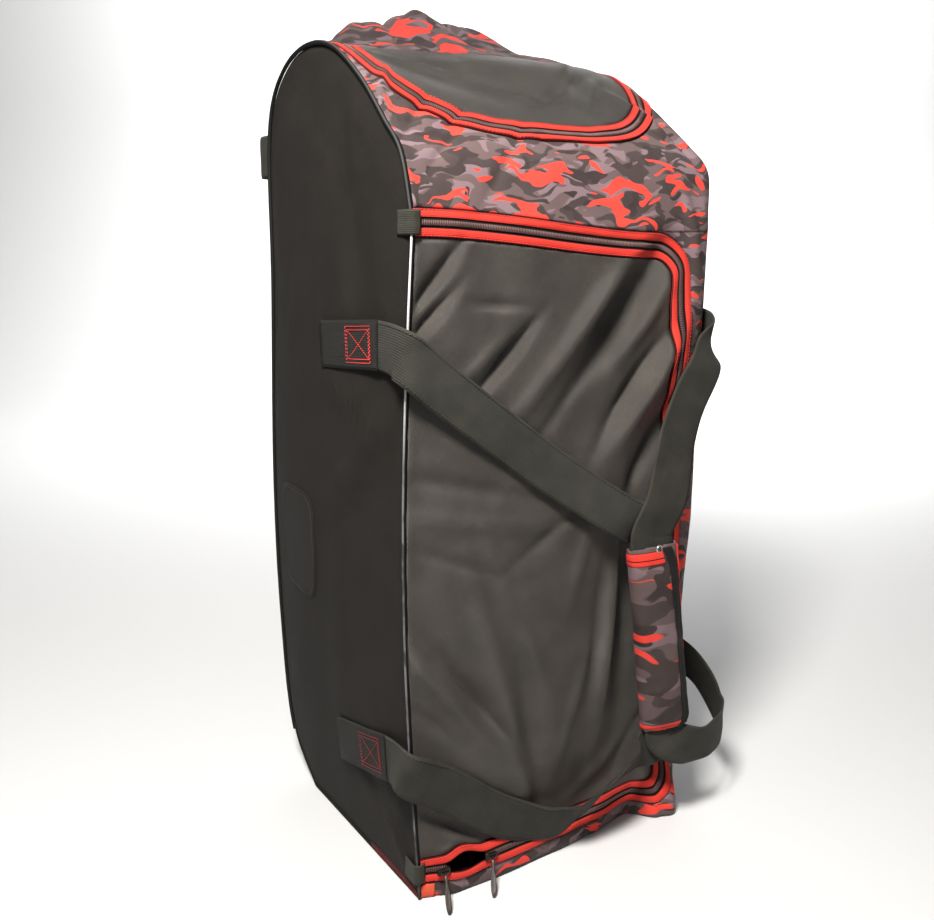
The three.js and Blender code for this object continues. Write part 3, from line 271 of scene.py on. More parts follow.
def lerp(a: float, b: float, t: float) -> float:
    """Returns the value at share t between a and b."""
    return a + (b - a) * t


def curve_at(points: Sequence[Vector], share: float) -> Vector:
    """Evaluates a centripetal Catmull-Rom curve.

    Args:
        points: The curve's points.
        share: How far along it, from 0 to 1.

    Returns:
        The point there.
    """
    last = len(points) - 1
    place = min(max(share, 0.0), 1.0) * last
    i = min(int(place), last - 1)
    t = place - i
    p1, p2 = points[i], points[i + 1]
    p0 = points[i - 1] if i > 0 else p1 * 2 - p2
    p3 = points[i + 2] if i + 2 <= last else p2 * 2 - p1
    d1 = math.sqrt((p2 - p1).length) or 1.0
    d0 = math.sqrt((p1 - p0).length) or d1
    d2 = math.sqrt((p3 - p2).length) or d1
    m1 = ((p1 - p0) / d0 - (p2 - p0) / (d0 + d1) + (p2 - p1) / d1) * d1
    m2 = ((p2 - p1) / d1 - (p3 - p1) / (d1 + d2) + (p3 - p2) / d2) * d1
    c2 = (p2 - p1) * 3 - m1 * 2 - m2
    c3 = (p1 - p2) * 2 + m1 + m2
    return p1 + (m1 + (c2 + c3 * t) * t) * t


def ripple(x: float, y: float, seed: float) -> float:
    """Returns smooth noise between about -1 and 1 at a place in the plane."""
    return noise.noise(Vector((x, y, seed)))


@dataclass
class Station:
    """A place on the side outline with its outward normal and its length along it."""

    y: float
    z: float
    right: float
    round: float
    ny: float = 0.0
    nz: float = 0.0
    s: float = 0.0


class Outline:
    """The bag's side outline as closely spaced stations."""

    FINE = 5

    def __init__(self, rows: Sequence[OutlineRow]) -> None:
        """Builds the stations from the rows of the outline."""
        self.stations: list[Station] = []
        self.names: dict[str, int] = {}
        points = [Vector((r.right * SIZE.width, r.y * SIZE.depth, r.z * SIZE.height)) for r in rows]
        for i, row in enumerate(rows):
            self.names[row.at] = len(self.stations)
            run, start = self._run(rows, points, i)
            count = row.facets * self.FINE
            after = rows[(i + 1) % len(rows)]
            for k in range(count):
                p = curve_at(run, (i - start + k / count) / (len(run) - 1))
                round_ = lerp(row.round, after.round, k / count) * SIZE.corner_round
                self.stations.append(Station(p.y, p.z, p.x, round_))
        first = self.stations[0]
        self.stations.append(Station(first.y, first.z, first.right, first.round))
        self._measure()

    @staticmethod
    def _run(rows: Sequence[OutlineRow], points: list[Vector], i: int) -> tuple[list[Vector], int]:
        """Returns the points of the smooth run that row i belongs to, and the run's first row."""
        following = points[(i + 1) % len(points)]
        if rows[i].straight:
            return [points[i], following], i
        first = i
        while first > 0 and not rows[first - 1].straight:
            first -= 1
        last = i + 1
        while last < len(rows) and not rows[last].straight:
            last += 1
        return points[first:last + 1], first

    def _measure(self) -> None:
        """Works out each station's length and outward normal."""
        all_ = self.stations
        for a, b in zip(all_, all_[1:]):
            b.s = a.s + math.hypot(b.y - a.y, b.z - a.z)
        front = all_[self.names["toe_front"]]
        zero = front.s - front.z
        count = len(all_) - 1
        for i, here in enumerate(all_):
            before = all_[i - 1 if i else count - 1]
            after = all_[i + 1 if i < count else 1]
            ahead = Vector((after.y - here.y, after.z - here.z)).normalized()
            behind = Vector((here.y - before.y, here.z - before.z)).normalized()
            tangent = (ahead + behind).normalized()
            here.ny, here.nz = -tangent.y, tangent.x
        for here in all_:
            here.s -= zero

    def s_at(self, name: str) -> float:
        """Returns the length along the outline at a named row."""
        return self.stations[self.names[name]].s

    def at(self, s: float) -> Station:
        """Returns the outline at length s, between its stations."""
        low, high = 0, len(self.stations) - 1
        while high - low > 1:
            middle = (low + high) // 2
            if self.stations[middle].s < s:
                low = middle
            else:
                high = middle
        a, b = self.stations[low], self.stations[high]
        t = (s - a.s) / (b.s - a.s)
        normal = Vector((lerp(a.ny, b.ny, t), lerp(a.nz, b.nz, t))).normalized()
        return Station(
            lerp(a.y, b.y, t), lerp(a.z, b.z, t), lerp(a.right, b.right, t), lerp(a.round, b.round, t),
            normal.x, normal.y, s,
        )


OUT = Outline(OUTLINE)


def fold_lift(folds: Sequence[Fold], x: float, s: float, wide: float) -> float:
    """Returns how far a table of folds lifts the cloth at (x, s), with x in shares of wide."""
    lift = 0.0
    for fold in folds:
        dx = x / wide - fold.across
        ds = (s - fold.up * SIZE.height) / SIZE.width
        reach = max(fold.long, fold.wide) * 3
        if abs(dx) > reach or abs(ds) > reach:
            continue
        turn = math.radians(fold.turn)
        along = (dx * math.cos(turn) + ds * math.sin(turn)) / fold.long
        beside = (ds * math.cos(turn) - dx * math.sin(turn)) / fold.wide
        lift += fold.lift * math.exp(-along * along - abs(beside) ** fold.sharp)
    return lift


class Wrapping:
    """The cloth that wraps the bag between its two side panels."""

    def __init__(self) -> None:
        """Works out the shoulder's height, which the left seam's bow follows."""
        self.shoulder = OUT.stations[OUT.names["shoulder"]].z

    def left_edge(self, y: float, z: float) -> float:
        """Returns where the left seam stands at a place of the outline."""
        bow = math.sin(math.pi * min(max(z / self.shoulder, 0), 1))
        return -SIZE.edge_bow * bow * (1 - min(max(y / SIZE.depth, 0), 1))

    def edges(self, o: Station) -> Spot:
        """Returns the cloth's left and right edge at a station, the right one over the round corner."""
        return self.left_edge(o.y, o.z) + SIZE.seam, o.right - o.round + o.round * SIZE.corner_turn

    def left(self, s: float) -> float:
        """Returns the cloth's left edge at length s."""
        return self.edges(OUT.at(s))[0]

    def right(self, s: float) -> float:
        """Returns the cloth's right edge at length s."""
        return self.edges(OUT.at(s))[1]

    @staticmethod
    def corner_end(o: Station) -> Spot:
        """Returns the round corner's end at a station: its x, and how far it lies below the outline."""
        turn = SIZE.corner_turn
        return o.right - o.round + o.round * math.sin(turn), o.round * (1 - math.cos(turn))

    @staticmethod
    def foot_out(x: float) -> float:
        """Returns how far the foot's front edge stands forward at x."""
        share = min(max(x / SIZE.width, 0), FOOT_EDGE[-1][0])
        for (a, low), (b, high) in zip(FOOT_EDGE, FOOT_EDGE[1:]):
            if share <= b:
                return SIZE.depth * lerp(low, high, smooth(share, a, b))
        return 0.0

    def lift(self, x: float, s: float, o: Station) -> float:
        """Returns how far swells, folds and slack lift the cloth at (x, s)."""
        left, right = self.edges(o)
        wide = SIZE.edge_fade
        slow = smooth(x, left, left + wide) * (1 - smooth(x, right - wide, right))
        fast = smooth(x, left - 0.004, left + 0.014) * (1 - smooth(x, right - 0.016, right + 0.002))
        floor = smooth(o.z, SIZE.zip_foot - SIZE.band, SIZE.zip_foot + SIZE.floor_fade)
        near = smooth(o.z, 0.012, 0.045)
        big = fold_lift(SWELLS, x, s, SIZE.width) * slow * floor
        fine = fold_lift(FOLDS, x, s, SIZE.width)
        slack = 0.0011 * ripple(x * 17, s * 17, 3.1) + 0.0005 * ripple(x * 46, s * 46, 8.7)
        return big + (fine + slack) * fast * near

    @staticmethod
    def lens(x: float, s: float) -> float:
        """Returns how far the open zip pushes the cloth up or down beside it."""
        middle = SIZE.lens_start + SIZE.lens_length / 2
        share = (x - middle) / (SIZE.lens_length * 0.62)
        if abs(share) >= 1 or s < 0 or s > 0.16:
            return 0.0
        open_ = (math.cos(math.pi * share) + 1) / 2
        away = s - SIZE.zip_foot
        if away > 0:
            return 0.0062 * open_ * (1 - smooth(away, 0.012, 0.09))
        return -0.0038 * open_ * (1 - smooth(-away, 0.008, 0.022))

    def point(self, x: float, s: float, raised: float = 0.0) -> tuple[Vector, Vector]:
        """Finds a place on the cloth's outer face.

        Args:
            x: The place across the cloth, measured on over the round corner.
            s: The length along the outline.
            raised: How far above the face the place lies.

        Returns:
            The point and the outline's normal there.
        """
        s = s + self.lens(x, s)
        o = OUT.at(s)
        flat_end = o.right - o.round
        turn = max(0.0, x - flat_end) / o.round
        rise = self.lift(x, s, o) + raised - o.round * (1 - math.cos(turn))
        flat = min(x, flat_end) + (o.round + raised) * math.sin(turn)
        rise -= raised * (1 - math.cos(turn))
        foot = self.foot_out(x) * (1 - smooth(o.z, SIZE.foot_hem, SIZE.foot_fade))
        foot *= 1 - smooth(o.y, SIZE.foot_hem, SIZE.foot_fade)
        place = Vector((flat, o.y + o.ny * rise - foot, o.z + o.nz * rise))
        return place, Vector((math.sin(turn), o.ny * math.cos(turn), o.nz * math.cos(turn)))


CLOTH = Wrapping()


class Side:
    """A side panel's rim and its swelling face."""

    MIDDLE_UP = 0.45

    def __init__(self, left: bool) -> None:
        """Works out the rim of the left or right panel."""
        self.is_left = left
        self.way = -1 if left else 1
        half = (SIZE.depth / 2, SIZE.height / 2)
        x = CLOTH.left_edge(*half) if left else SIZE.width
        self.middle = Vector((x, SIZE.depth / 2, SIZE.height * self.MIDDLE_UP))
        self.rim = [self._rim_point(o) for o in OUT.stations[:-1]]

    def _rim_point(self, o: Station) -> Vector:
        """Returns the rim's place at a station."""
        x, inset = CLOTH.left_edge(o.y, o.z), SIZE.seam
        if not self.is_left:
            x, below = CLOTH.corner_end(o)
            inset = SIZE.seam + below
        return Vector((x, o.y - o.ny * inset, o.z - o.nz * inset))

    def face(self, rim_x: float, ring: float) -> float:
        """Returns the face's x at a ring of the rim."""
        swell = SIZE.side_bulge * (1 - min(ring, 1) ** 3)
        return lerp(self.middle.x, rim_x, ring ** 2) + self.way * swell

    @staticmethod
    def slack(y: float, z: float) -> float:
        """Returns how far the slack of the cloth lifts it at a place (y, z)."""
        return 0.0014 * ripple(y * 11, z * 11, 4.4) + 0.0005 * ripple(y * 38, z * 38, 1.9)

    def x_at(self, y: float, z: float) -> float:
        """Returns the face's x at a place (y, z)."""
        dy, dz = y - self.middle.y, z - self.middle.z
        count = len(self.rim)
        for i, a in enumerate(self.rim):
            b = self.rim[(i + 1) % count]
            det = dy * (b.z - a.z) - dz * (b.y - a.y)
            if abs(det) < 1e-12:
                continue
            ay, az = a.y - self.middle.y, a.z - self.middle.z
            reach = (ay * (b.z - a.z) - az * (b.y - a.y)) / det
            along = (ay * dz - az * dy) / det
            if reach > 0 and 0 <= along <= 1:
                return self.face(lerp(a.x, b.x, along), 1 / reach)
        return self.face(self.middle.x, 0)


SIDES = {"left": Side(True), "right": Side(False)}


class Value:
    """A node socket that arithmetic turns into Math nodes."""

    def __init__(self, shader: "Shader", socket: bpy.types.NodeSocket) -> None:
        """Wraps a socket of a shader's tree."""
        self.shader = shader
        self.socket = socket

    def _math(self, operation: str, a: "Input", b: "Input") -> "Value":
        """Adds one Math node."""
        return self.shader.node("ShaderNodeMath", {"operation": operation}, {0: a, 1: b})

    def __add__(self, other: "Input") -> "Value":
        """Adds."""
        return self._math("ADD", self, other)

    __radd__ = __add__

    def __sub__(self, other: "Input") -> "Value":
        """Subtracts."""
        return self._math("SUBTRACT", self, other)

    def __rsub__(self, other: "Input") -> "Value":
        """Subtracts this from a number."""
        return self._math("SUBTRACT", other, self)

    def __mul__(self, other: "Input") -> "Value":
        """Multiplies."""
        return self._math("MULTIPLY", self, other)

    __rmul__ = __mul__

    def __truediv__(self, other: "Input") -> "Value":
        """Divides."""
        return self._math("DIVIDE", self, other)

    def __pow__(self, other: "Input") -> "Value":
        """Raises to a power."""
        return self._math("POWER", self, other)

    def sine(self) -> "Value":
        """Takes the sine."""
        return self._math("SINE", self, 0.0)

    def size(self) -> "Value":
        """Takes the value without its sign."""
        return self._math("ABSOLUTE", self, 0.0)

    def band(self, low: float, high: float) -> "Value":
        """Eases the value from 0 at low to 1 at high."""
        places = {"Value": self, "From Min": low, "From Max": high}
        return self.shader.node("ShaderNodeMapRange", {"interpolation_type": "SMOOTHSTEP"}, places)


Input = Union[Value, Number, Sequence[float]]


class Shader:
    """A material and the few calls that build its nodes."""

    def __init__(self, name: str) -> None:
        """Makes an empty material with a Principled shader."""
        self.material = bpy.data.materials.new(name)
        self.material.use_nodes = True
        self.tree = self.material.node_tree
        self.tree.nodes.clear()
        self.surface = self.tree.nodes.new("ShaderNodeBsdfPrincipled")
        output = self.tree.nodes.new("ShaderNodeOutputMaterial")
        self.tree.links.new(self.surface.outputs[0], output.inputs["Surface"])

    def node(self, kind: str, settings: dict, places: dict, out: Union[int, str] = 0) -> Value:
        """Adds a node.

        Args:
            kind: The node's type.
            settings: Its properties, and a ramp's stops under "stops".
            places: Values or links for its sockets, by name or number.
            out: The output that is wanted.

        Returns:
            That output.
        """
        node = self.tree.nodes.new(kind)
        for key, value in settings.items():
            if key == "stops":
                self._stops(node.color_ramp, value)
            else:
                setattr(node, key, value)
        for key, value in places.items():
            self.feed(node.inputs[key], value)
        return Value(self, node.outputs[out])

    @staticmethod
    def _stops(ramp: bpy.types.ColorRamp, stops: Sequence[tuple[float, Colour]]) -> None:
        """Sets a ramp's stops."""
        while len(ramp.elements) < len(stops):
            ramp.elements.new(0.5)
        for element, (place, colour) in zip(ramp.elements, stops):
            element.position = place
            element.color = (*colour, 1)

    def feed(self, socket: bpy.types.NodeSocket, value: Input) -> None:
        """Links or sets one input socket."""
        if isinstance(value, Value):
            self.tree.links.new(value.socket, socket)
        elif isinstance(value, (int, float)):
            socket.default_value = value
        else:
            wanted = len(socket.default_value)
            socket.default_value = (*value, 1)[:wanted] if len(value) < wanted else value

    def set(self, **sockets: Input) -> None:
        """Feeds the Principled shader's sockets, with _ for a space in a name."""
        for name, value in sockets.items():
            self.feed(self.surface.inputs[name.replace("_", " ")], value)

    def cloth_place(self) -> tuple[Value, Value]:
        """Returns the place on the cloth in metres, across and along."""
        place = self.node("ShaderNodeUVMap", {"uv_map": UV}, {})
        across = self.node("ShaderNodeSeparateXYZ", {}, {0: place}, "X")
        along = Value(self, across.socket.node.outputs["Y"])
        return across, along

    def body_place(self) -> Value:
        """Returns the place in the object."""
        return self.node("ShaderNodeTexCoord", {}, {}, "Object")

    def at(self, across: Input, along: Input, third: Input = 0.0) -> Value:
        """Joins coordinates into a vector."""
        return self.node("ShaderNodeCombineXYZ", {}, {0: across, 1: along, 2: third})

    def cloudy(self, place: Value, scale: float, detail: float = 2.0, wander: float = 0.0) -> Value:
        """Returns noise at a place."""
        places = {"Vector": place, "Scale": scale, "Detail": detail, "Distortion": wander}
        return self.node("ShaderNodeTexNoise", {}, places, 0)

    @staticmethod
    def weave(across: Value, along: Value, pitch: float) -> Value:
        """Returns the crossing threads of a plain weave."""
        turn = 2 * math.pi / pitch
        return (across * turn).sine() * (along * turn).sine()

    def mix(self, share: Input, a: Input, b: Input) -> Value:
        """Mixes two colours."""
        node = self.tree.nodes.new("ShaderNodeMix")
        node.data_type = "RGBA"
        self.feed(node.inputs[0], share)
        self.feed(node.inputs[6], a)
        self.feed(node.inputs[7], b)
        return Value(self, node.outputs[2])

    def bump(self, height: Value, depth: float, strength: float = 1.0) -> None:
        """Feeds a bump of the given depth in metres to Normal."""
        places = {"Height": height, "Distance": depth, "Strength": strength}
        self.set(Normal=self.node("ShaderNodeBump", {}, places))


UV = "cloth"


@dataclass(frozen=True)
class Woven:
    """Plain woven polyester: base and worn colours, thread pitch and gloss."""

    name: str
    colour: Colour
    pale: Colour
    pitch: float = 0.0009
    rough: float = 0.56
    sheen: float = 0.25
    gloss: float = 0.3

    def build(self) -> bpy.types.Material:
        """Builds the material."""
        s = Shader(self.name)
        across, along = s.cloth_place()
        weave = s.weave(across, along, self.pitch)
        place = s.at(across, along)
        cloud = s.cloudy(place, 22, 3)
        thread = s.cloudy(s.at(across * 900, along * 160), 1, 1)
        pale = (cloud - 0.35) * 0.9 + (thread - 0.5) * 0.7 + weave * 0.12
        s.set(
            Base_Color=s.mix(pale.band(-0.2, 1.1), self.colour, self.pale),
            Roughness=self.rough + (cloud - 0.5) * 0.16 + (thread - 0.5) * 0.1,
            Specular_IOR_Level=self.gloss,
            Sheen_Weight=self.sheen, Sheen_Roughness=0.45, Sheen_Tint=(0.75, 0.7, 0.64),
        )
        s.bump(weave * 0.6 + thread * 0.5 + cloud * 0.6, 0.00035, 0.7)
        return s.material


@dataclass(frozen=True)
class Camouflage:
    """A printed camouflage of ordinary blotches: grounds, darks, lights and reds."""

    name: str
    ground: Colour = (0.1, 0.067, 0.065)
    dark: Colour = (0.042, 0.03, 0.028)
    light: Colour = (0.165, 0.11, 0.12)
    black: Colour = (0.03, 0.021, 0.02)
    red: Colour = (0.68, 0.045, 0.03)
    long: float = 0.027
    wide: float = 0.0112
    red_from: float = 0.6
    by_object: bool = False
    # How much of the print's colour is kept, the rest mixed towards near black; the crown's copy uses it to
    # paint shade
    tone: float = 1.0

    def build(self) -> bpy.types.Material:
        """Builds the material."""
        s = Shader(self.name)
        if self.by_object:
            whole = s.body_place()
            across = s.node("ShaderNodeSeparateXYZ", {}, {0: whole}, "X")
            along = Value(s, across.socket.node.outputs["Z"])
        else:
            across, along = s.cloth_place()
        print_place = s.at(across / self.long, along / self.wide)
        sway = s.cloudy(s.at(across / self.long, along / self.long), 0.8, 1)
        place = s.node(
            "ShaderNodeVectorMath", {"operation": "ADD"}, {0: print_place, 1: s.at(sway * 0.9, sway * 2.6)}
        )
        colour: Input = self.ground
        layers = ((self.light, 11.0, 0.53), (self.dark, 3.0, 0.52), (self.black, 23.0, 0.6))
        for tint, seed, start in layers:
            blotch = s.cloudy(self._moved(s, place, seed), 0.75, 1.2, 0.5)
            colour = s.mix(blotch.band(start, start + 0.012), colour, tint)
        red = s.cloudy(self._moved(s, place, 41.0), 0.62, 0.9, 0.75)
        colour = s.mix(red.band(self.red_from, self.red_from + 0.01), colour, self.red)
        weave = s.weave(across, along, 0.0009)
        wear = s.cloudy(s.at(across, along), 30, 3)
        # Pale wear, then the darkening by tone, which on the crown's copy is painted shade
        wear_and_painted_light = s.mix((wear - 0.4) * 0.2, colour, (0.2, 0.15, 0.15))
        wear_and_painted_light = s.mix(1 - self.tone, wear_and_painted_light, (0.012, 0.009, 0.009))
        s.set(
            Base_Color=wear_and_painted_light, Roughness=0.6 + (wear - 0.5) * 0.14, Specular_IOR_Level=0.15,
            Sheen_Weight=0.03, Sheen_Roughness=0.5, Sheen_Tint=(0.8, 0.74, 0.72),
        )
        s.bump(weave * 0.6 + wear * 0.8, 0.0003, 0.6)
        return s.material

    @staticmethod
    def _moved(s: Shader, place: Value, by: float) -> Value:
        """Returns the place moved, so that each layer has its own blotches."""
        return s.node("ShaderNodeVectorMath", {"operation": "ADD"}, {0: place, 1: (by, by * 0.7, by * 0.3)})


@dataclass(frozen=True)
class Ribbed:
    """Webbing or tape: ribs along its length and picks across it."""

    name: str
    colour: Colour
    pale: Colour
    rib: float = 0.0024
    pick: float = 0.0011
    edge_at: float = 0.0235
    rough: float = 0.6
    depth: float = 0.0005
    edge_tone: float = 0.2
    lines: tuple[float, ...] = ()
    line_tone: Colour = (0.02, 0.004, 0.004)

    def build(self) -> bpy.types.Material:
        """Builds the material."""
        s = Shader(self.name)
        across, along = s.cloth_place()
        ribs = (across * (2 * math.pi / self.rib)).sine()
        picks = (along * (2 * math.pi / self.pick) + ribs * 1.3).sine()
        cloud = s.cloudy(s.at(across, along), 35, 3)
        fuzz = s.cloudy(s.at(across * 700, along * 700), 1, 1)
        edge = across.size().band(self.edge_at - 0.0012, self.edge_at)
        pale = picks * 0.16 + ribs * 0.1 + (cloud - 0.45) * 0.9 + (fuzz - 0.5) * 0.5 + edge * self.edge_tone
        colour = s.mix(pale.band(-0.4, 1.1), self.colour, self.pale)
        for place in self.lines:
            beside = (across.size() - place).size().band(0.0004, 0.0009)
            colour = s.mix(1 - beside, colour, self.line_tone)
        s.set(
            Base_Color=colour,
            Roughness=self.rough + (cloud - 0.5) * 0.15, Specular_IOR_Level=0.12,
            Sheen_Weight=0.02, Sheen_Roughness=0.4, Sheen_Tint=(0.8, 0.8, 0.75),
        )
        s.bump(ribs * 0.4 + picks * 0.5 + fuzz * 0.4 + edge * 0.8, self.depth, 0.8)
        return s.material


@dataclass(frozen=True)
class Piped:
    """Edge piping: dark cloth with a painted highlight line along its front."""

    name: str
    colour: Colour = (0.007, 0.007, 0.006)
    highlight_colour: Colour = (0.6, 0.6, 0.61)
    # side: where round the piping the painted highlight line runs; low and high: the stretch along the seam
    # where it is bright
    side: float = 0.21
    low: float = 0.5
    high: float = 0.7

    def build(self) -> bpy.types.Material:
        """Builds the material."""
        s = Shader(self.name)
        around, along = s.cloth_place()
        wander = s.cloudy(s.at(around, along), 9, 2)
        # The painted highlight: a pale line along the front, bright on the straight stretch from low to
        # high, with faint glints below it and on the arch
        line = 1 - (around - self.side + (wander - 0.5) * 0.04).size().band(0.055, 0.085)
        # Patchy noise that breaks the painted highlight into glints
        wear_and_painted_light = s.cloudy(s.at(around, along * 14), 2.2, 3).band(0.42, 0.6)
        straight = 1 - along.band(self.high, self.high + 0.02)
        upper = along.band(self.low - 0.02, self.low + 0.1) * straight
        painted_highlight = line * (upper * (0.65 + wear_and_painted_light * 0.35) + (1 - upper) * (0.05 + wear_and_painted_light * 0.14 * straight))
        weave = (along * (2 * math.pi / 0.0012)).sine()
        s.set(
            Base_Color=s.mix(painted_highlight, self.colour, self.highlight_colour),
            Roughness=0.62 - painted_highlight * 0.32, Metallic=painted_highlight * 0.3, Specular_IOR_Level=0.12,
        )
        s.bump(weave, 0.0002, 0.4)
        return s.material


@dataclass(frozen=True)
class Moulded:
    """Plastic or painted metal with faint unevenness."""

    name: str
    colour: Colour
    pale: Colour
    rough: float = 0.4
    metal: float = 0.0
    grain: float = 300.0

    def build(self) -> bpy.types.Material:
        """Builds the material."""
        s = Shader(self.name)
        place = s.body_place()
        cloud = s.cloudy(place, self.grain, 3)
        patch = s.cloudy(place, self.grain / 9, 2)
        s.set(
            Base_Color=s.mix(patch.band(0.35, 0.75), self.colour, self.pale),
            Roughness=self.rough + (cloud - 0.5) * 0.2, Metallic=self.metal,
        )
        s.bump(cloud, 0.0001, 0.5)
        return s.material


@dataclass(frozen=True)
class Plain:
    """A matt stage finish."""

    name: str
    colour: Colour

    def build(self) -> bpy.types.Material:
        """Builds the material."""
        s = Shader(self.name)
        s.set(Base_Color=self.colour, Roughness=0.85)
        return s.material


MADE: dict[str, bpy.types.Material] = {}


class Finish(Enum):
    """The bag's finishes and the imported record's slot that each belongs to."""

    # Three copies of one black cloth: the lid's, a darker one on the pocket and a much darker one on the
    # side panels, which are painted shade; the base and the foot seams share the side panels' copy
    LID = (
        Woven(
            "lid_cloth", (0.027, 0.0232, 0.019), (0.078, 0.066, 0.0545), rough=0.4, sheen=0.06, gloss=0.42,
        ),
        "panel_cloth",
    )
    # Darker than the lid's cloth: painted shade on the upward-facing pocket
    SHADED_POCKET = (
        Woven(
            "shaded_pocket_cloth", (0.024, 0.021, 0.018), (0.056, 0.049, 0.042), rough=0.45, sheen=0.04, gloss=0.22,
        ),
        "panel_cloth",
    )
    # Much darker than the lid's cloth: painted shade on the side panels
    SHADED_PANEL = (
        Woven(
            "shaded_side_cloth", (0.0098, 0.0082, 0.007), (0.0235, 0.0198, 0.017), rough=0.7, sheen=0.01, gloss=0.1,
        ),
        "panel_cloth",
    )
    CAMO = (Camouflage("camouflage"), "camo_cloth")
    # A darker copy of the camouflage: painted shade over the crown
    SHADED_CROWN = (Camouflage("shaded_crown_camouflage", tone=0.52), "camo_cloth")
    WRAP = (
        Camouflage("wrap_camouflage", long=0.04, wide=0.02, red_from=0.625, by_object=True, tone=0.78),
        "wrap_cloth",
    )
    RED = (
        Ribbed(
            "red_grosgrain", (0.5, 0.03, 0.02), (0.78, 0.055, 0.036), 0.0016, 0.0009, 0.5, 0.55, 0.0003,
            lines=(0.0046, 0.0136),
        ),
        "red_tape",
    )
    ZIP_TAPE = (
        Ribbed(
            "zip_tape", (0.006, 0.004, 0.004), (0.1, 0.05, 0.046), 0.0012, 0.0009, 0.0036, 0.6, 0.0003, -1.6,
        ),
        "zip_coil",
    )
    TEETH = (Moulded("zip_coils", (0.08, 0.042, 0.038), (0.13, 0.07, 0.064), 0.5), "zip_coil")
    WEBBING = (Ribbed("strap_webbing", (0.018, 0.0171, 0.0135), (0.058, 0.055, 0.044)), "webbing")
    DARK_TAPE = (Ribbed("dark_tape", (0.006, 0.006, 0.005), (0.018, 0.016, 0.014), 0.0016), "webbing")
    # A darker copy of the webbing, laid over the handles' ends on the side panels as painted shade
    SHADED_STRAP_END = (Ribbed("shaded_strap_end", (0.0065, 0.006, 0.005), (0.017, 0.016, 0.013), 0.002), "webbing")
    TAB = (
        Ribbed("tab_webbing", (0.024, 0.024, 0.018), (0.066, 0.064, 0.051), 0.002, 0.001, 0.011),
        "webbing",
    )
    PIPING = (Piped("piping_cloth"), "piping")
    SLIDER = (Moulded("slider_enamel", (0.012, 0.01, 0.009), (0.03, 0.026, 0.022), 0.32, 0.7), "zip_metal")
    PULL = (Moulded("pull_rubber", (0.016, 0.011, 0.008), (0.045, 0.033, 0.024), 0.42), "pull_plastic")
    THREAD = (Moulded("red_thread", (0.4, 0.014, 0.014), (0.6, 0.03, 0.024), 0.6), "red_tape")
    MAROON_THREAD = (Moulded("maroon_thread", (0.11, 0.008, 0.008), (0.2, 0.016, 0.014), 0.6), "red_tape")
    DARK_THREAD = (Moulded("dark_thread", (0.012, 0.012, 0.01), (0.03, 0.03, 0.026), 0.6), "webbing")
    PATCH = (
        Woven("patch_weave", (0.01, 0.0085, 0.0074), (0.023, 0.0195, 0.017), 0.0014, 0.65, 0.01, 0.1),
        "patch",
    )
    BINDING = (
        Ribbed(
            "foot_binding", (0.06, 0.005, 0.005), (0.15, 0.013, 0.011), 0.0016, 0.0009, 0.5, 0.65, 0.0003,
        ),
        "red_tape",
    )
    CORNER = (
        Ribbed("corner_tape", (0.6, 0.07, 0.035), (0.85, 0.16, 0.085), 0.0013, 0.0009, 0.5, 0.6, 0.0004),
        "red_tape",
    )
    RING = (Moulded("snap_ring", (0.45, 0.45, 0.44), (0.62, 0.62, 0.6), 0.3, 0.9), "zip_metal")
    FLOOR = (Plain("floor", (0.56, 0.56, 0.557)), "")

    def material(self) -> bpy.types.Material:
        """Returns the finish's material, built once."""
        if self.name not in MADE:
            MADE[self.name] = self.value[0].build()
        return MADE[self.name]


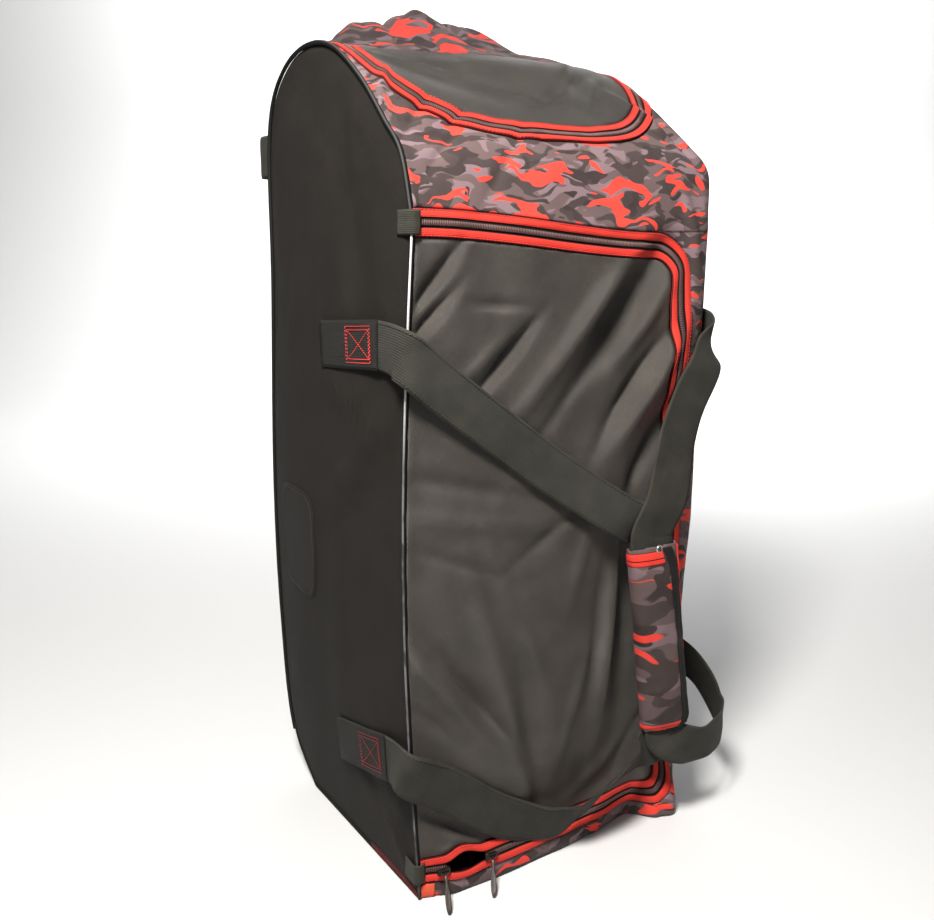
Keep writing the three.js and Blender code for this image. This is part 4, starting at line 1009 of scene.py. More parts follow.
class Shop:
    """Turns points into pieces that ride on the bag."""

    def __init__(self) -> None:
        """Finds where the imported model's frame puts the bag's own left seam and lid plane."""
        zip_left = Vector(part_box("pocket_zip_outer")[0]).x
        panel = Vector(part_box("side_panel_left")[0])
        self.shift = Vector((zip_left - (SIZE.pocket_left - SIZE.band), panel.y - SIZE.seam, 0))
        LOG.info("shift %s", tuple(round(v, 6) for v in self.shift))

    def piece(
        self, name: str, points: Sequence[Vector], faces: Sequence[Sequence[int]], finish: Finish,
        places: Optional[Sequence[Spot]] = None,
    ) -> Piece:
        """Makes one piece.

        Args:
            name: The piece's name.
            points: Its vertices in the bag's own frame.
            faces: Its faces.
            finish: Its finish.
            places: Each vertex's place on the cloth, across and along, in metres.

        Returns:
            The piece.
        """
        mesh = bpy.data.meshes.new(name)
        mesh.from_pydata([p + self.shift for p in points], [], [tuple(f) for f in faces])
        if places:
            layer = mesh.uv_layers.new(name=UV)
            flat = [c for loop in mesh.loops for c in places[loop.vertex_index]]
            layer.data.foreach_set("uv", flat)
        mesh.validate()
        mesh.materials.append(finish.material())
        mesh.polygons.foreach_set("use_smooth", [True] * len(mesh.polygons))
        mesh.update()
        piece = bpy.data.objects.new(name, mesh)
        bpy.context.scene.collection.objects.link(piece)
        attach(piece, BODY)
        LOG.info("%s: %d faces", name, len(mesh.polygons))
        return piece

    def sheet(
        self, name: str, columns: int, rows: int, at: Callable[[int, int], GridPoint],
        thick: float, finish: Finish, edge: float = 0.0012, pucker: float = 0.0005,
        level: Optional[int] = None, turned: bool = False,
    ) -> Piece:
        """Makes a closed sheet of cloth from a grid of places.

        Args:
            name: The piece's name.
            columns: Cells across.
            rows: Cells along.
            at: Gives the outer point and its place on the cloth at a column and row.
            thick: The cloth's thickness.
            finish: Its finish.
            edge: How far the sewn edges dip.
            pucker: How strongly the cloth puckers beside them.
            level: The side that doesn't dip, because the same cloth goes on there (0 to 3: the first and
                last column, the first and last row).
            turned: Whether the grid runs the other way round, so that its back is the cloth's face.

        Returns:
            The piece.
        """
        wide = columns + 1
        grid = [at(i, j) for j in range(rows + 1) for i in range(wide)]
        outer = [g[0] for g in grid]
        normals = grid_normals(outer, columns, rows)
        if turned:
            normals = [-n for n in normals]
        middle = (rows // 2) * wide + columns // 2
        step = max((outer[middle] - outer[middle - 1]).length, (outer[middle] - outer[middle - wide]).length)
        for k, (point, (u, v)) in enumerate(grid):
            i, j = k % wide, k // wide
            sides = self._to_sides(outer, columns, rows, i, j)
            away = min(d for n, d in enumerate(sides) if n != level)
            if away > step * 8:
                continue
            drop = -edge * math.exp(-((away / 0.0028) ** 2))
            crimp = pucker * math.exp(-((away / 0.009) ** 2)) * ripple(u * 95, v * 95, 5.5) * 2
            outer[k] = point + normals[k] * (drop + crimp * smooth(away, 0, 0.004))
        for point in outer:
            point.z = max(point.z, 0.0)
        inner = [p - n * thick for p, n in zip(outer, normals)]
        faces: list[tuple[int, ...]] = []
        layer = len(outer)
        for j in range(rows):
            for i in range(columns):
                a = j * wide + i
                faces.append((a, a + 1, a + 1 + wide, a + wide))
                faces.append((layer + a, layer + a + wide, layer + a + 1 + wide, layer + a + 1))
        ring = [i for i in range(columns)] + [j * wide + columns for j in range(rows)]
        ring += [rows * wide + i for i in range(columns, 0, -1)] + [j * wide for j in range(rows, 0, -1)]
        for a, b in zip(ring, ring[1:] + ring[:1]):
            faces.append((b, a, a + layer, b + layer))
        if turned:
            faces = [tuple(reversed(f)) for f in faces]
        places = [g[1] for g in grid]
        return self.piece(name, outer + inner, faces, finish, places + places)

    @staticmethod
    def _to_sides(outer: list[Vector], columns: int, rows: int, i: int, j: int) -> tuple[float, ...]:
        """Returns a vertex's distances to the four sides of its grid."""
        wide = columns + 1
        here = outer[j * wide + i]
        ends = (outer[j * wide], outer[j * wide + columns], outer[i], outer[rows * wide + i])
        return tuple((here - end).length for end in ends)

    def strip(
        self, name: str, stops: Sequence["Stop"], width: float, thick: float, finish: Finish,
    ) -> Piece:
        """Makes webbing through stops, with rounded edges.

        Args:
            name: The piece's name.
            stops: The places along it.
            width: Its width.
            thick: Its thickness.
            finish: Its finish.

        Returns:
            The piece.
        """
        lanes = 12
        section: list[Spot] = []
        for k in range(lanes + 1):
            section.append((lerp(-1, 1, k / lanes), 1))
        for k in range(lanes, -1, -1):
            section.append((lerp(-1, 1, k / lanes), -1))
        points, places = [], []
        along = 0.0
        before: Optional[Vector] = None
        for stop in stops:
            if before is not None:
                along += (stop.point - before).length
            before = stop.point
            for u, side in section:
                slim = 1 - 0.55 * abs(u) ** 10
                curl = 0.0009 * ripple(u * 1.4, along * 21, 2.2)
                inset = width / 2 - (0.0004 if abs(u) == 1 else 0)
                p = stop.point + stop.wide * (u * inset)
                points.append(p + stop.normal * (side * slim * thick / 2 + curl))
                places.append((u * width / 2, along))
        count = len(section)
        faces = tube_sides(len(stops), count)
        end = (len(stops) - 1) * count
        for k in range(lanes):
            other = count - 1 - k
            faces.append((k, other, other - 1, k + 1))
            faces.append((end + k, end + k + 1, end + other - 1, end + other))
        return self.piece(name, points, faces, finish, places)

    def stitches(
        self, name: str, path: Sequence[tuple[Vector, Vector]], finish: Finish,
        step: float = 0.0042, thick: float = 0.0005,
    ) -> Piece:
        """Makes a row of stitches.

        Args:
            name: The piece's name.
            path: Points on the cloth with its normals.
            finish: The thread's finish.
            step: From stitch to stitch.
            thick: Half the thread's thickness.

        Returns:
            The piece.
        """
        points: list[Vector] = []
        faces: list[tuple[int, ...]] = []
        travelled, due = 0.0, 0.0
        for (a, normal), (b, _) in zip(path, path[1:]):
            length = (b - a).length
            if length < 1e-9:
                continue
            way = (b - a) / length
            while due <= travelled + length:
                centre = a + way * (due - travelled)
                across = way.cross(normal).normalized()
                base = len(points)
                for share, fat in ((-0.36, 0.3), (-0.2, 1), (0.2, 1), (0.36, 0.3)):
                    rise = normal * (thick * (0.6 if fat == 1 else 0))
                    middle = centre + way * (share * step) + rise
                    for cx, cy in ((1, 0), (0, 1), (-1, 0), (0, -1)):
                        points.append(middle + (across * cx + normal * cy) * (thick * fat))
                for r in range(3):
                    for k in range(4):
                        n = (k + 1) % 4
                        q = base + r * 4
                        faces.append((q + k, q + n, q + 4 + n, q + 4 + k))
                faces.append((base + 3, base + 2, base + 1, base))
                faces.append((base + 12, base + 13, base + 14, base + 15))
                due += step
            travelled += length
        return self.piece(name, points, faces, finish)


def grid_normals(points: Sequence[Vector], columns: int, rows: int) -> list[Vector]:
    """Returns outward normals of a grid of points, from their neighbours."""
    wide = columns + 1
    normals = []
    for j in range(rows + 1):
        for i in range(wide):
            a = points[j * wide + max(i - 1, 0)]
            b = points[j * wide + min(i + 1, columns)]
            c = points[max(j - 1, 0) * wide + i]
            d = points[min(j + 1, rows) * wide + i]
            normals.append((b - a).cross(d - c).normalized())
    return normals


@dataclass
class Stop:
    """A place along a strip: its point, the way of its width and its normal."""

    point: Vector
    wide: Vector
    normal: Vector


@dataclass
class ZipStep:
    """A place on a zip's centre line with the outward way across it."""

    x: float
    s: float
    out: Spot
    run: str

    def beside(self, by: float) -> Spot:
        """Returns the place at a distance to the outside."""
        return self.x + self.out[0] * by, self.s + self.out[1] * by


@dataclass
class LidZip:
    """The lid's zip: its line, tapes, teeth and edge stitches."""

    fine: float = 0.0045
    arc: int = 14
    line: list[ZipStep] = field(default_factory=list)

    def __post_init__(self) -> None:
        """Lays out the centre line from the top left round to the foot left."""
        bend = SIZE.width - SIZE.zip_inset - SIZE.zip_round
        side = SIZE.width - SIZE.zip_inset
        self.bend = bend
        high = SIZE.zip_top - SIZE.zip_droop - SIZE.zip_round
        low = SIZE.zip_foot + SIZE.zip_round
        start = CLOTH.left(SIZE.zip_top) + SIZE.gap
        for k in range(count := round((bend - start) / self.fine)):
            x = lerp(start, bend, k / count)
            self.line.append(ZipStep(x, SIZE.zip_top - self.droop(x), (0, 1), "level"))
        self._corner(high, 90, 0)
        for k in range(1, count := round((high - low) / self.fine)):
            self.line.append(ZipStep(side, lerp(high, low, k / count), (1, 0), "side"))
        self._corner(low, 0, -90)
        end = CLOTH.left(SIZE.zip_foot) + SIZE.gap
        for k in range(1, (count := round((bend - end) / self.fine)) + 1):
            self.line.append(ZipStep(lerp(bend, end, k / count), SIZE.zip_foot, (0, -1), "foot"))

    def droop(self, x: float) -> float:
        """Returns how much lower the zip's top runs at x."""
        return SIZE.zip_droop * smooth(x, 0, self.bend)

    def _corner(self, s: float, start: float, stop: float) -> None:
        """Adds a round corner centred at length s."""
        for k in range(self.arc + 1):
            a = math.radians(lerp(start, stop, k / self.arc))
            out = (math.cos(a), math.sin(a))
            place = (self.bend + SIZE.zip_round * out[0], s + SIZE.zip_round * out[1])
            self.line.append(ZipStep(*place, out, "side"))

    def closed(self) -> list[ZipStep]:
        """Returns the stretch of the line with its teeth meshed."""
        end = SIZE.lens_start + SIZE.lens_length
        return [z for z in self.line if z.run != "foot" or z.x > end]

    def build(self, shop: Shop) -> None:
        """Builds the zip's pieces."""
        half = SIZE.coil / 2
        outer = zip_tape(shop, "lid_tape_outer", self.line, half - TAPE_LAP, SIZE.band)
        inner = zip_tape(shop, "lid_tape_inner", self.line, -SIZE.band, -half + TAPE_LAP)
        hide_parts("lid_zip_outer")
        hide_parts("lid_zip_inner")
        teeth = zip_teeth(shop, "lid_teeth", self.closed())
        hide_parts("lid_zip_coil")
        zip_bed(shop, "lid_zip_bed", self.closed())
        end = [z for z in self.line if z.run == "foot" and z.x < SIZE.lens_start]
        tail = zip_teeth(shop, "lid_teeth_end", end)
        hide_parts("lid_zip_end")
        zip_bed(shop, "lid_zip_end_bed", end)
        zip_stitches(shop, "lid", self.line)


@dataclass
class PocketZip:
    """The end pocket's zip, from the left end of the crown seam round the front to its right end."""

    steps: int = 150
    line: list[ZipStep] = field(default_factory=list)

    def __post_init__(self) -> None:
        """Lays out the centre line."""
        self.crown = OUT.s_at("crown")
        self.half = (SIZE.width - SIZE.pocket_left - SIZE.pocket_right) / 2
        self.centre = SIZE.pocket_left + self.half
        for k in range(self.steps + 1):
            angle = math.pi * k / self.steps
            a = self._at(max(angle - 0.02, 0))
            b = self._at(min(angle + 0.02, math.pi))
            way = Vector((b[0] - a[0], b[1] - a[1])).normalized()
            if k in (0, self.steps):
                way = Vector((0, -1 if k == 0 else 1))
            x, s = self._at(angle)
            self.line.append(ZipStep(x, s, (way.y, -way.x), "round"))

    def _at(self, angle: float) -> Spot:
        """Returns the line's place at an angle."""
        power = 2 / SIZE.pocket_squareness
        c = math.cos(angle)
        across = powered(c, power)
        drop = SIZE.pocket_depth * abs(math.sin(angle)) ** power
        return self.centre - self.half * across, self.crown - drop

    def build(self, shop: Shop) -> None:
        """Builds the zip's pieces."""
        half = SIZE.coil / 2
        outer = zip_tape(shop, "pocket_tape_outer", self.line, half - TAPE_LAP, SIZE.band, self.crown)
        inner = zip_tape(shop, "pocket_tape_inner", self.line, -SIZE.band, -half + TAPE_LAP, self.crown)
        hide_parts("pocket_zip_outer")
        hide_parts("pocket_zip_inner")
        teeth = zip_teeth(shop, "pocket_teeth", self.line[2:-2])
        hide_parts("pocket_zip_coil")
        zip_bed(shop, "pocket_zip_bed", self.line, self.crown)
        zip_stitches(shop, "pocket", self.line[3:-3])


def zip_tape(
    shop: Shop, name: str, line: Sequence[ZipStep], low: float, high: float, stop: float = NO_STOP,
) -> Piece:
    """Makes one tape of a zip, crowned between its edges.

    Args:
        shop: Makes the piece.
        name: The piece's name.
        line: The zip's centre line.
        low: The tape's inner offset from it.
        high: The tape's outer offset.
        stop: The length along the outline that it doesn't pass.

    Returns:
        The piece.
    """
    lanes = 6

    def at(i: int, j: int) -> GridPoint:
        """Returns a grid point and its place on the cloth."""
        share = i / lanes
        x, s = line[j].beside(lerp(low, high, share))
        crown = 0.0013 * (1 - (2 * share - 1) ** 4) + 0.0002
        point, _ = CLOTH.point(x, min(s, stop - SIZE.gap), crown)
        return point, (lerp(low, high, share), j * ZIP_STEP)

    return shop.sheet(
        name, lanes, len(line) - 1, at, 0.0018, Finish.RED, edge=0.0004, pucker=0.00015,
        turned=line[0].run != "round",
    )


def zip_bed(shop: Shop, name: str, line: Sequence[ZipStep], stop: float = NO_STOP) -> Piece:
    """Makes the dark woven bed under a zip's teeth."""
    lanes = 4
    half = SIZE.coil / 2 - 0.0002

    def at(i: int, j: int) -> GridPoint:
        """Returns a grid point and its place on the cloth."""
        by = lerp(-half, half, i / lanes)
        x, s = line[j].beside(by)
        point, _ = CLOTH.point(x, min(s, stop - SIZE.gap), -0.0004)
        return point, (by, j * ZIP_STEP)

    return shop.sheet(
        name, lanes, len(line) - 1, at, 0.0008, Finish.ZIP_TAPE, edge=0, pucker=0,
        turned=line[0].run != "round",
    )


def zip_stitches(shop: Shop, kind: str, line: Sequence[ZipStep]) -> None:
    """Sews a zip's two tapes down along their far edges."""
    inset = SIZE.band - STITCH_INSET
    for edge, by in (("outer", inset), ("inner", -inset)):
        path = [CLOTH.point(*z.beside(by), raised=STITCH_RAISE) for z in line]
        shop.stitches(f"{kind}_stitch_{edge}", path, Finish.THREAD)


def zip_teeth(shop: Shop, name: str, line: Sequence[ZipStep]) -> Piece:
    """Makes the meshed teeth of a coil zip along a line.

    Args:
        shop: Makes the piece.
        name: The piece's name.
        line: The zip's centre line.

    Returns:
        The piece.
    """
    pitch, half, lift, fat = 0.0019, 0.0027, 0.0011, 0.00062
    arch = [(-1, -0.3), (-0.75, 0.75), (0, 1), (0.75, 0.75), (1, -0.3)]
    points: list[Vector] = []
    faces: list[tuple[int, ...]] = []
    travelled, due = 0.0, 0.0
    for a, b in zip(line, line[1:]):
        length = math.hypot(b.x - a.x, b.s - a.s)
        if length < 1e-9:
            continue
        way = ((b.x - a.x) / length, (b.s - a.s) / length)
        while due <= travelled + length:
            t = (due - travelled) / length
            x, s = lerp(a.x, b.x, t), lerp(a.s, b.s, t)
            out = (lerp(a.out[0], b.out[0], t), lerp(a.out[1], b.out[1], t))
            centre, normal = CLOTH.point(x, s, 0.0)
            ahead = CLOTH.point(x + way[0] * 0.001, s + way[1] * 0.001, 0.0)[0] - centre
            side = CLOTH.point(x + out[0] * 0.001, s + out[1] * 0.001, 0.0)[0] - centre
            ahead, side = ahead.normalized(), side.normalized()
            base = len(points)
            for u, w in arch:
                middle = centre + side * (u * half) + normal * (w * lift) + ahead * (u * pitch * 0.22)
                for cu, cv in ((1, 0), (0, 1), (-1, 0), (0, -1)):
                    points.append(middle + ahead * (cu * fat) + normal * (cv * fat * 0.8))
            for r in range(len(arch) - 1):
                for k in range(4):
                    q = base + r * 4
                    n = (k + 1) % 4
                    faces.append((q + k, q + n, q + 4 + n, q + 4 + k))
            last = base + 4 * (len(arch) - 1)
            faces.append((base + 3, base + 2, base + 1, base))
            faces.append((last, last + 1, last + 2, last + 3))
            due += pitch
        travelled += length
    return shop.piece(name, points, faces, Finish.TEETH)


@dataclass
class Panels:
    """The cloth panels that wrap the bag: lid, camouflage strips, pocket, crown and base."""

    lid_zip: LidZip
    pocket_zip: PocketZip
    fine: float = 0.0045

    def build(self, shop: Shop) -> None:
        """Builds every wrapping panel."""
        self._lid(shop)
        self._gusset_right(shop)
        self._gusset_bottom(shop)
        self._gusset_top(shop)
        self._pocket(shop)
        self._back(shop)

    @staticmethod
    def _laid(x: float, s: float) -> GridPoint:
        """Returns a point of the cloth and its place on it."""
        return CLOTH.point(x, s)[0], (x, s)

    def _lid(self, shop: Shop) -> None:
        """Builds the lid inside its zip."""
        side = [z for z in self.lid_zip.line if z.run == "side"]
        columns = 84
        full = SIZE.zip_top - SIZE.zip_droop - SIZE.band - SIZE.gap

        def at(i: int, j: int) -> GridPoint:
            """Returns a grid point and its place on the cloth."""
            x, s = side[j].beside(-(SIZE.band + SIZE.gap))
            share = i / columns
            rise = SIZE.zip_droop - self.lid_zip.droop(lerp(CLOTH.left(s), x, share))
            up = s + rise * smooth(s, SIZE.zip_top / 2, full)
            return self._laid(lerp(CLOTH.left(up), x, share), up)

        piece = shop.sheet(
            "lid_cloth_piece", columns, len(side) - 1, at, SIZE.cloth, Finish.LID, turned=True
        )
        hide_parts("lid")

    def _gusset_right(self, shop: Shop) -> None:
        """Builds the camouflage strip beside the lid."""
        side = [z for z in self.lid_zip.line if z.run == "side"]
        columns = 20

        def at(i: int, j: int) -> GridPoint:
            """Returns a grid point and its place on the cloth."""
            x, s = side[j].beside(SIZE.band + SIZE.gap)
            return self._laid(lerp(x, CLOTH.right(s), i / columns), s)

        piece = shop.sheet(
            "side_strip", columns, len(side) - 1, at, SIZE.cloth, Finish.CAMO, level=2, turned=True
        )
        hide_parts("gusset_right")

    def _gusset_bottom(self, shop: Shop) -> None:
        """Builds the camouflage under the lid and under the foot."""
        low, high = OUT.s_at("under") + SIZE.gap, SIZE.zip_foot - SIZE.band - 2 * SIZE.gap
        columns, rows = 96, 52

        def at(i: int, j: int) -> GridPoint:
            """Returns a grid point and its place on the cloth."""
            s = lerp(low, high, (j / rows) ** 0.6)
            return self._laid(lerp(CLOTH.left(s), CLOTH.right(s), i / columns), s)

        piece = shop.sheet("foot_strip", columns, rows, at, SIZE.cloth, Finish.CAMO)
        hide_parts("gusset_bottom")

    def _gusset_top(self, shop: Shop) -> None:
        """Builds the camouflage over the shoulder, round the pocket."""
        edge = [z.beside(SIZE.band + 2 * SIZE.gap) for z in self.pocket_zip.line]
        top = self.pocket_zip.crown - SIZE.gap
        rows, count, turn = 48, len(edge), 8

        def low(x: float) -> float:
            """Returns where the strip starts, above the lid's zip."""
            return SIZE.zip_top + SIZE.band + 2 * SIZE.gap - self.lid_zip.droop(x)

        def at(i: int, j: int) -> GridPoint:
            """Returns a grid point and its place on the cloth."""
            share = j / rows
            if i == 0:
                s = lerp(low(0), top, share)
                return self._laid(CLOTH.left(s), s)
            x, s = edge[min(i, count) - 1]
            past = max(i - count, 0) / turn
            s = lerp(low(x), lerp(min(s, top), top, past), share)
            return self._laid(lerp(x, CLOTH.right(s), past), s)

        piece = shop.sheet("shoulder_strip", count + turn, rows, at, SIZE.cloth, Finish.CAMO, level=2)
        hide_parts("gusset_top")

    def _pocket(self, shop: Shop) -> None:
        """Builds the end pocket's panel."""
        edge = [z.beside(-(SIZE.band + SIZE.gap)) for z in self.pocket_zip.line[1:-1]]
        top = self.pocket_zip.crown - SIZE.gap
        rows = 34

        def at(i: int, j: int) -> GridPoint:
            """Returns a grid point and its place on the cloth."""
            x, s = edge[i]
            return self._laid(x, lerp(min(s, top - SIZE.seam), top, j / rows))

        # The pocket takes the darker copy of the cloth, with painted shade
        piece = shop.sheet("shaded_pocket_cloth", len(edge) - 1, rows, at, SIZE.cloth, Finish.SHADED_POCKET)
        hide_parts("pocket_panel")

    def _back(self, shop: Shop) -> None:
        """Builds the puffed crown and the base."""
        spans = (
            ("crown_cloth", "gusset_crown", OUT.s_at("crown"), OUT.s_at("base_top"), 92, 46, Finish.SHADED_CROWN),
            ("base_cloth", "base", OUT.s_at("base_top"), OUT.stations[-1].s, 64, 110, Finish.SHADED_PANEL),
        )
        for name, node, low, high, columns, rows, finish in spans:
            def at(i: int, j: int) -> GridPoint:
                """Returns a grid point and its place on the cloth."""
                s = lerp(low + SIZE.gap, high - SIZE.gap, j / rows)
                return self._laid(lerp(CLOTH.left(s), CLOTH.right(s), i / columns), s)

            piece = shop.sheet(name, columns, rows, at, SIZE.cloth, finish)
            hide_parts(node)


@dataclass
class SidePanels:
    """The two long side panels with their piping."""

    rings: int = 40

    def build(self, shop: Shop) -> None:
        """Builds both panels and both pipings."""
        for name, side in SIDES.items():
            self._panel(shop, name, side)
            self._piping(shop, name)
            self._foot_seam(shop, name)

    def _panel(self, shop: Shop, name: str, side: Side) -> None:
        """Builds one panel as rings of its rim."""
        count = len(side.rim)
        outer: list[Vector] = []
        for o, p in zip(OUT.stations, side.rim):
            outer.append(p + Vector((-side.way * 0.0022, o.ny * 0.002, o.nz * 0.002)))
        for r in range(self.rings - 1):
            ring = 1 - (r / (self.rings - 1)) ** 1.15
            for p in side.rim:
                y, z = lerp(side.middle.y, p.y, ring), lerp(side.middle.z, p.z, ring)
                fast = 1 - smooth(ring, 0.93, 1)
                lift = (fold_lift(SIDE_FOLDS, y, z, SIZE.depth) + side.slack(y, z)) * fast
                lift -= 0.0009 * smooth(ring, 0.975, 1)
                outer.append(Vector((side.face(p.x, ring) + side.way * lift, y, z)))
        outer.append(Vector((side.face(side.middle.x, 0), side.middle.y, side.middle.z)))
        inner = [p - Vector((side.way * SIZE.cloth, 0, 0)) for p in outer]
        layer = len(outer)
        faces: list[tuple[int, ...]] = []
        for k in range(count):
            n = (k + 1) % count
            for r in range(self.rings - 1):
                quad = (r * count + k, r * count + n, (r + 1) * count + n, (r + 1) * count + k)
                faces.append(quad)
                faces.append(tuple(q + layer for q in reversed(quad)))
            last = (self.rings - 1) * count
            faces.append((last + k, last + n, layer - 1))
            faces.append((layer + layer - 1, last + n + layer, last + k + layer))
            faces.append((n, k, k + layer, n + layer))
        if side.way > 0:
            faces = [tuple(reversed(f)) for f in faces]
        places = [(p.y, p.z) for p in outer]
        # The side panels take the darker copy of the cloth, with painted shade
        piece = shop.piece(f"{name}_shaded_side_cloth", outer + inner, faces, Finish.SHADED_PANEL, places + places)
        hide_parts(f"side_panel_{name}")

    def _piping(self, shop: Shop, name: str) -> None:
        """Builds the piping along one seam; its finish paints a highlight line along the front."""
        start, stop = OUT.names["toe_front"] - 3, OUT.names["heel_back"]
        lanes = 12
        points, places, faces = [], [], []
        run = OUT.stations[start:stop + 1]
        for o in run:
            if name == "left":
                x, inward = CLOTH.left_edge(o.y, o.z) - SIZE.gap, -SIZE.gap
            else:
                end, below = CLOTH.corner_end(o)
                x, inward = end + SIZE.piping + 2 * SIZE.gap, below + SIZE.seam / 2
            centre = Vector((x, o.y - o.ny * inward, o.z - o.nz * inward))
            radius = SIZE.piping * (1 + 0.08 * ripple(o.s * 60, 0, 7))
            for k in range(lanes + 1):
                a = 2 * math.pi * k / lanes + math.pi * 0.25
                rim = Vector((math.cos(a), math.sin(a) * o.ny, math.sin(a) * o.nz))
                points.append(centre + rim * radius)
                places.append((k / lanes, o.s))
        wide = lanes + 1
        for j in range(len(run) - 1):
            for k in range(lanes):
                q = j * wide + k
                faces.append((q, q + 1, q + 1 + wide, q + wide))
        end = (len(run) - 1) * wide
        faces.append(tuple(range(lanes, -1, -1)))
        faces.append(tuple(end + k for k in range(wide)))
        piece = shop.piece(f"{name}_piping", points, faces, Finish.PIPING, places)
        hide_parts(f"piping_{name}")

    @staticmethod
    def _foot_seam(shop: Shop, name: str) -> None:
        """Builds the covered seam that closes the corner under the foot, where no piping runs."""
        low = OUT.stations[OUT.names["heel_back"] - 1:-1] + OUT.stations[:OUT.names["toe_front"]]
        lanes, radius, sunk = 10, 0.0019, 0.0021
        points, places = [], []
        for o in low:
            x, inward = CLOTH.left_edge(o.y, o.z) + 0.0004, sunk
            if name == "right":
                end, below = CLOTH.corner_end(o)
                x, inward = end + 0.0014, below + sunk
            centre = Vector((x, o.y - o.ny * inward, o.z - o.nz * inward))
            for k in range(lanes):
                a = 2 * math.pi * k / lanes
                way = Vector((math.cos(a), math.sin(a) * o.ny, math.sin(a) * o.nz))
                points.append(centre + way * radius)
                places.append((k / lanes * 0.012, o.s))
        faces = tube_faces(len(low), lanes)
        shop.piece(f"{name}_foot_seam", points, faces, Finish.SHADED_PANEL, places)


@dataclass(frozen=True)
class RouteRow:
    """A place on a handle's route: its surface, shares of it, stand in webbing widths, and its turns."""

    on: str
    across: float
    up: float
    stand: float
    lean: float
    face: float

    def point(self) -> Vector:
        """Returns the place."""
        z = self.up * SIZE.height
        stand = self.stand * SIZE.webbing
        if self.on == "lid":
            x = self.across * SIZE.width
            swell = fold_lift(SWELLS, x, z, SIZE.width)
            return Vector((x, -max(swell * lid_ease(x, z), 0) - stand, z))
        side = SIDES[self.on]
        y = self.across * SIZE.depth
        faces = [side.x_at(y, z + edge * SIZE.webbing / 2) for edge in (-1, 0, 1)]
        x = min(faces) - stand if self.on == "left" else max(faces) + stand
        return Vector((x, y, z))

    def wide(self) -> Vector:
        """Returns the way of the webbing's width."""
        side = math.sin(math.radians(self.lean))
        face = math.radians(self.face)
        return Vector((side * math.cos(face), side * math.sin(face), math.cos(math.radians(self.lean))))


def lid_ease(x: float, s: float) -> float:
    """Returns how much of the swells is left at (x, s) of the lid, near its edges and floor."""
    o = OUT.at(s)
    left, right = CLOTH.edges(o)
    slow = smooth(x, left, left + SIZE.edge_fade) * (1 - smooth(x, right - SIZE.edge_fade, right))
    return slow * smooth(o.z, SIZE.zip_foot - SIZE.band, SIZE.zip_foot + SIZE.floor_fade)


LEFT_UPPER = [RouteRow(*row) for row in (
    ("left", 0.44, 0.652, 0.036, 3, 90), ("left", 0.24, 0.657, 0.04, 3, 90),
    ("left", 0.085, 0.66, 0.1, 4, 75), ("left", -0.025, 0.652, 0.1, 8, 30),
    ("lid", 0.066, 0.615, 0.22, 24, 0), ("lid", 0.203, 0.571, 0.16, 34, 0),
    ("lid", 0.388, 0.512, 0.14, 36, 0), ("lid", 0.518, 0.473, 0.24, 40, 6),
    ("lid", 0.62, 0.444, 0.46, 56, 0),
)]
LEFT_LOWER = [RouteRow(*row) for row in (
    ("lid", 0.768, 0.12, 0.53, 104, -10), ("lid", 0.71, 0.106, 0.56, 116, 32),
    ("lid", 0.62, 0.088, 0.54, 124, 58), ("lid", 0.515, 0.064, 0.5, 136, 60),
    ("lid", 0.41, 0.055, 0.4, 158, 40), ("lid", 0.25, 0.082, 0.2, 194, 0),
    ("lid", 0.06, 0.145, 0.22, 206, 0), ("left", -0.03, 0.178, 0.2, 196, -40),
    ("left", 0.07, 0.176, 0.14, 188, -80), ("left", 0.22, 0.16, 0.045, 188, -90),
    ("left", 0.42, 0.14, 0.036, 188, -90),
)]
RIGHT_UPPER = [RouteRow(*row) for row in (
    ("right", 0.44, 0.66, 0.036, 4, 90), ("right", 0.33, 0.66, 0.045, 4, 90),
    ("right", 0.22, 0.66, 0.075, 5, 90), ("right", 0.055, 0.66, 0.15, 8, 75),
    ("lid", 0.983, 0.652, 0.14, 24, 40), ("lid", 0.925, 0.624, 0.5, -58, 0),
    ("lid", 0.838, 0.582, 0.66, 112, -4), ("lid", 0.775, 0.534, 0.84, 112, -10),
    ("lid", 0.735, 0.466, 0.98, 102, -16),
)]
RIGHT_LOWER = [RouteRow(*row) for row in (
    ("lid", 0.87, 0.122, 1.06, 40, -16), ("lid", 0.98, 0.118, 0.94, 10, 0),
    ("right", -0.05, 0.116, 1.16, 0, 40), ("right", 0.01, 0.128, 1.3, -20, 60),
    ("right", 0.08, 0.158, 1.18, -30, 70), ("right", 0.16, 0.185, 0.7, -20, 80),
    ("right", 0.27, 0.2, 0.18, -8, 90), ("right", 0.38, 0.2, 0.045, -6, 90),
    ("right", 0.48, 0.198, 0.036, -6, 90),
)]

# The straps along the wrap's axis: the share of its length, and how many times further apart than in it
WRAP_ROUTE = [(-0.06, 2), (0, 1.4), (0.1, 1), (0.5, 1), (0.9, 1), (1, 1.4), (1.06, 2)]

# The rear handle from seam to seam: shares of the width, and out of its stand
REAR_HANDLE = [
    (0.012, -0.02), (0.006, 0.5), (0.022, 0.88), (0.09, 0.98), (0.3, 1), (0.5, 1),
    (0.7, 1), (0.91, 0.98), (0.985, 0.82), (0.985, 0.45), (0.955, -0.02),
]


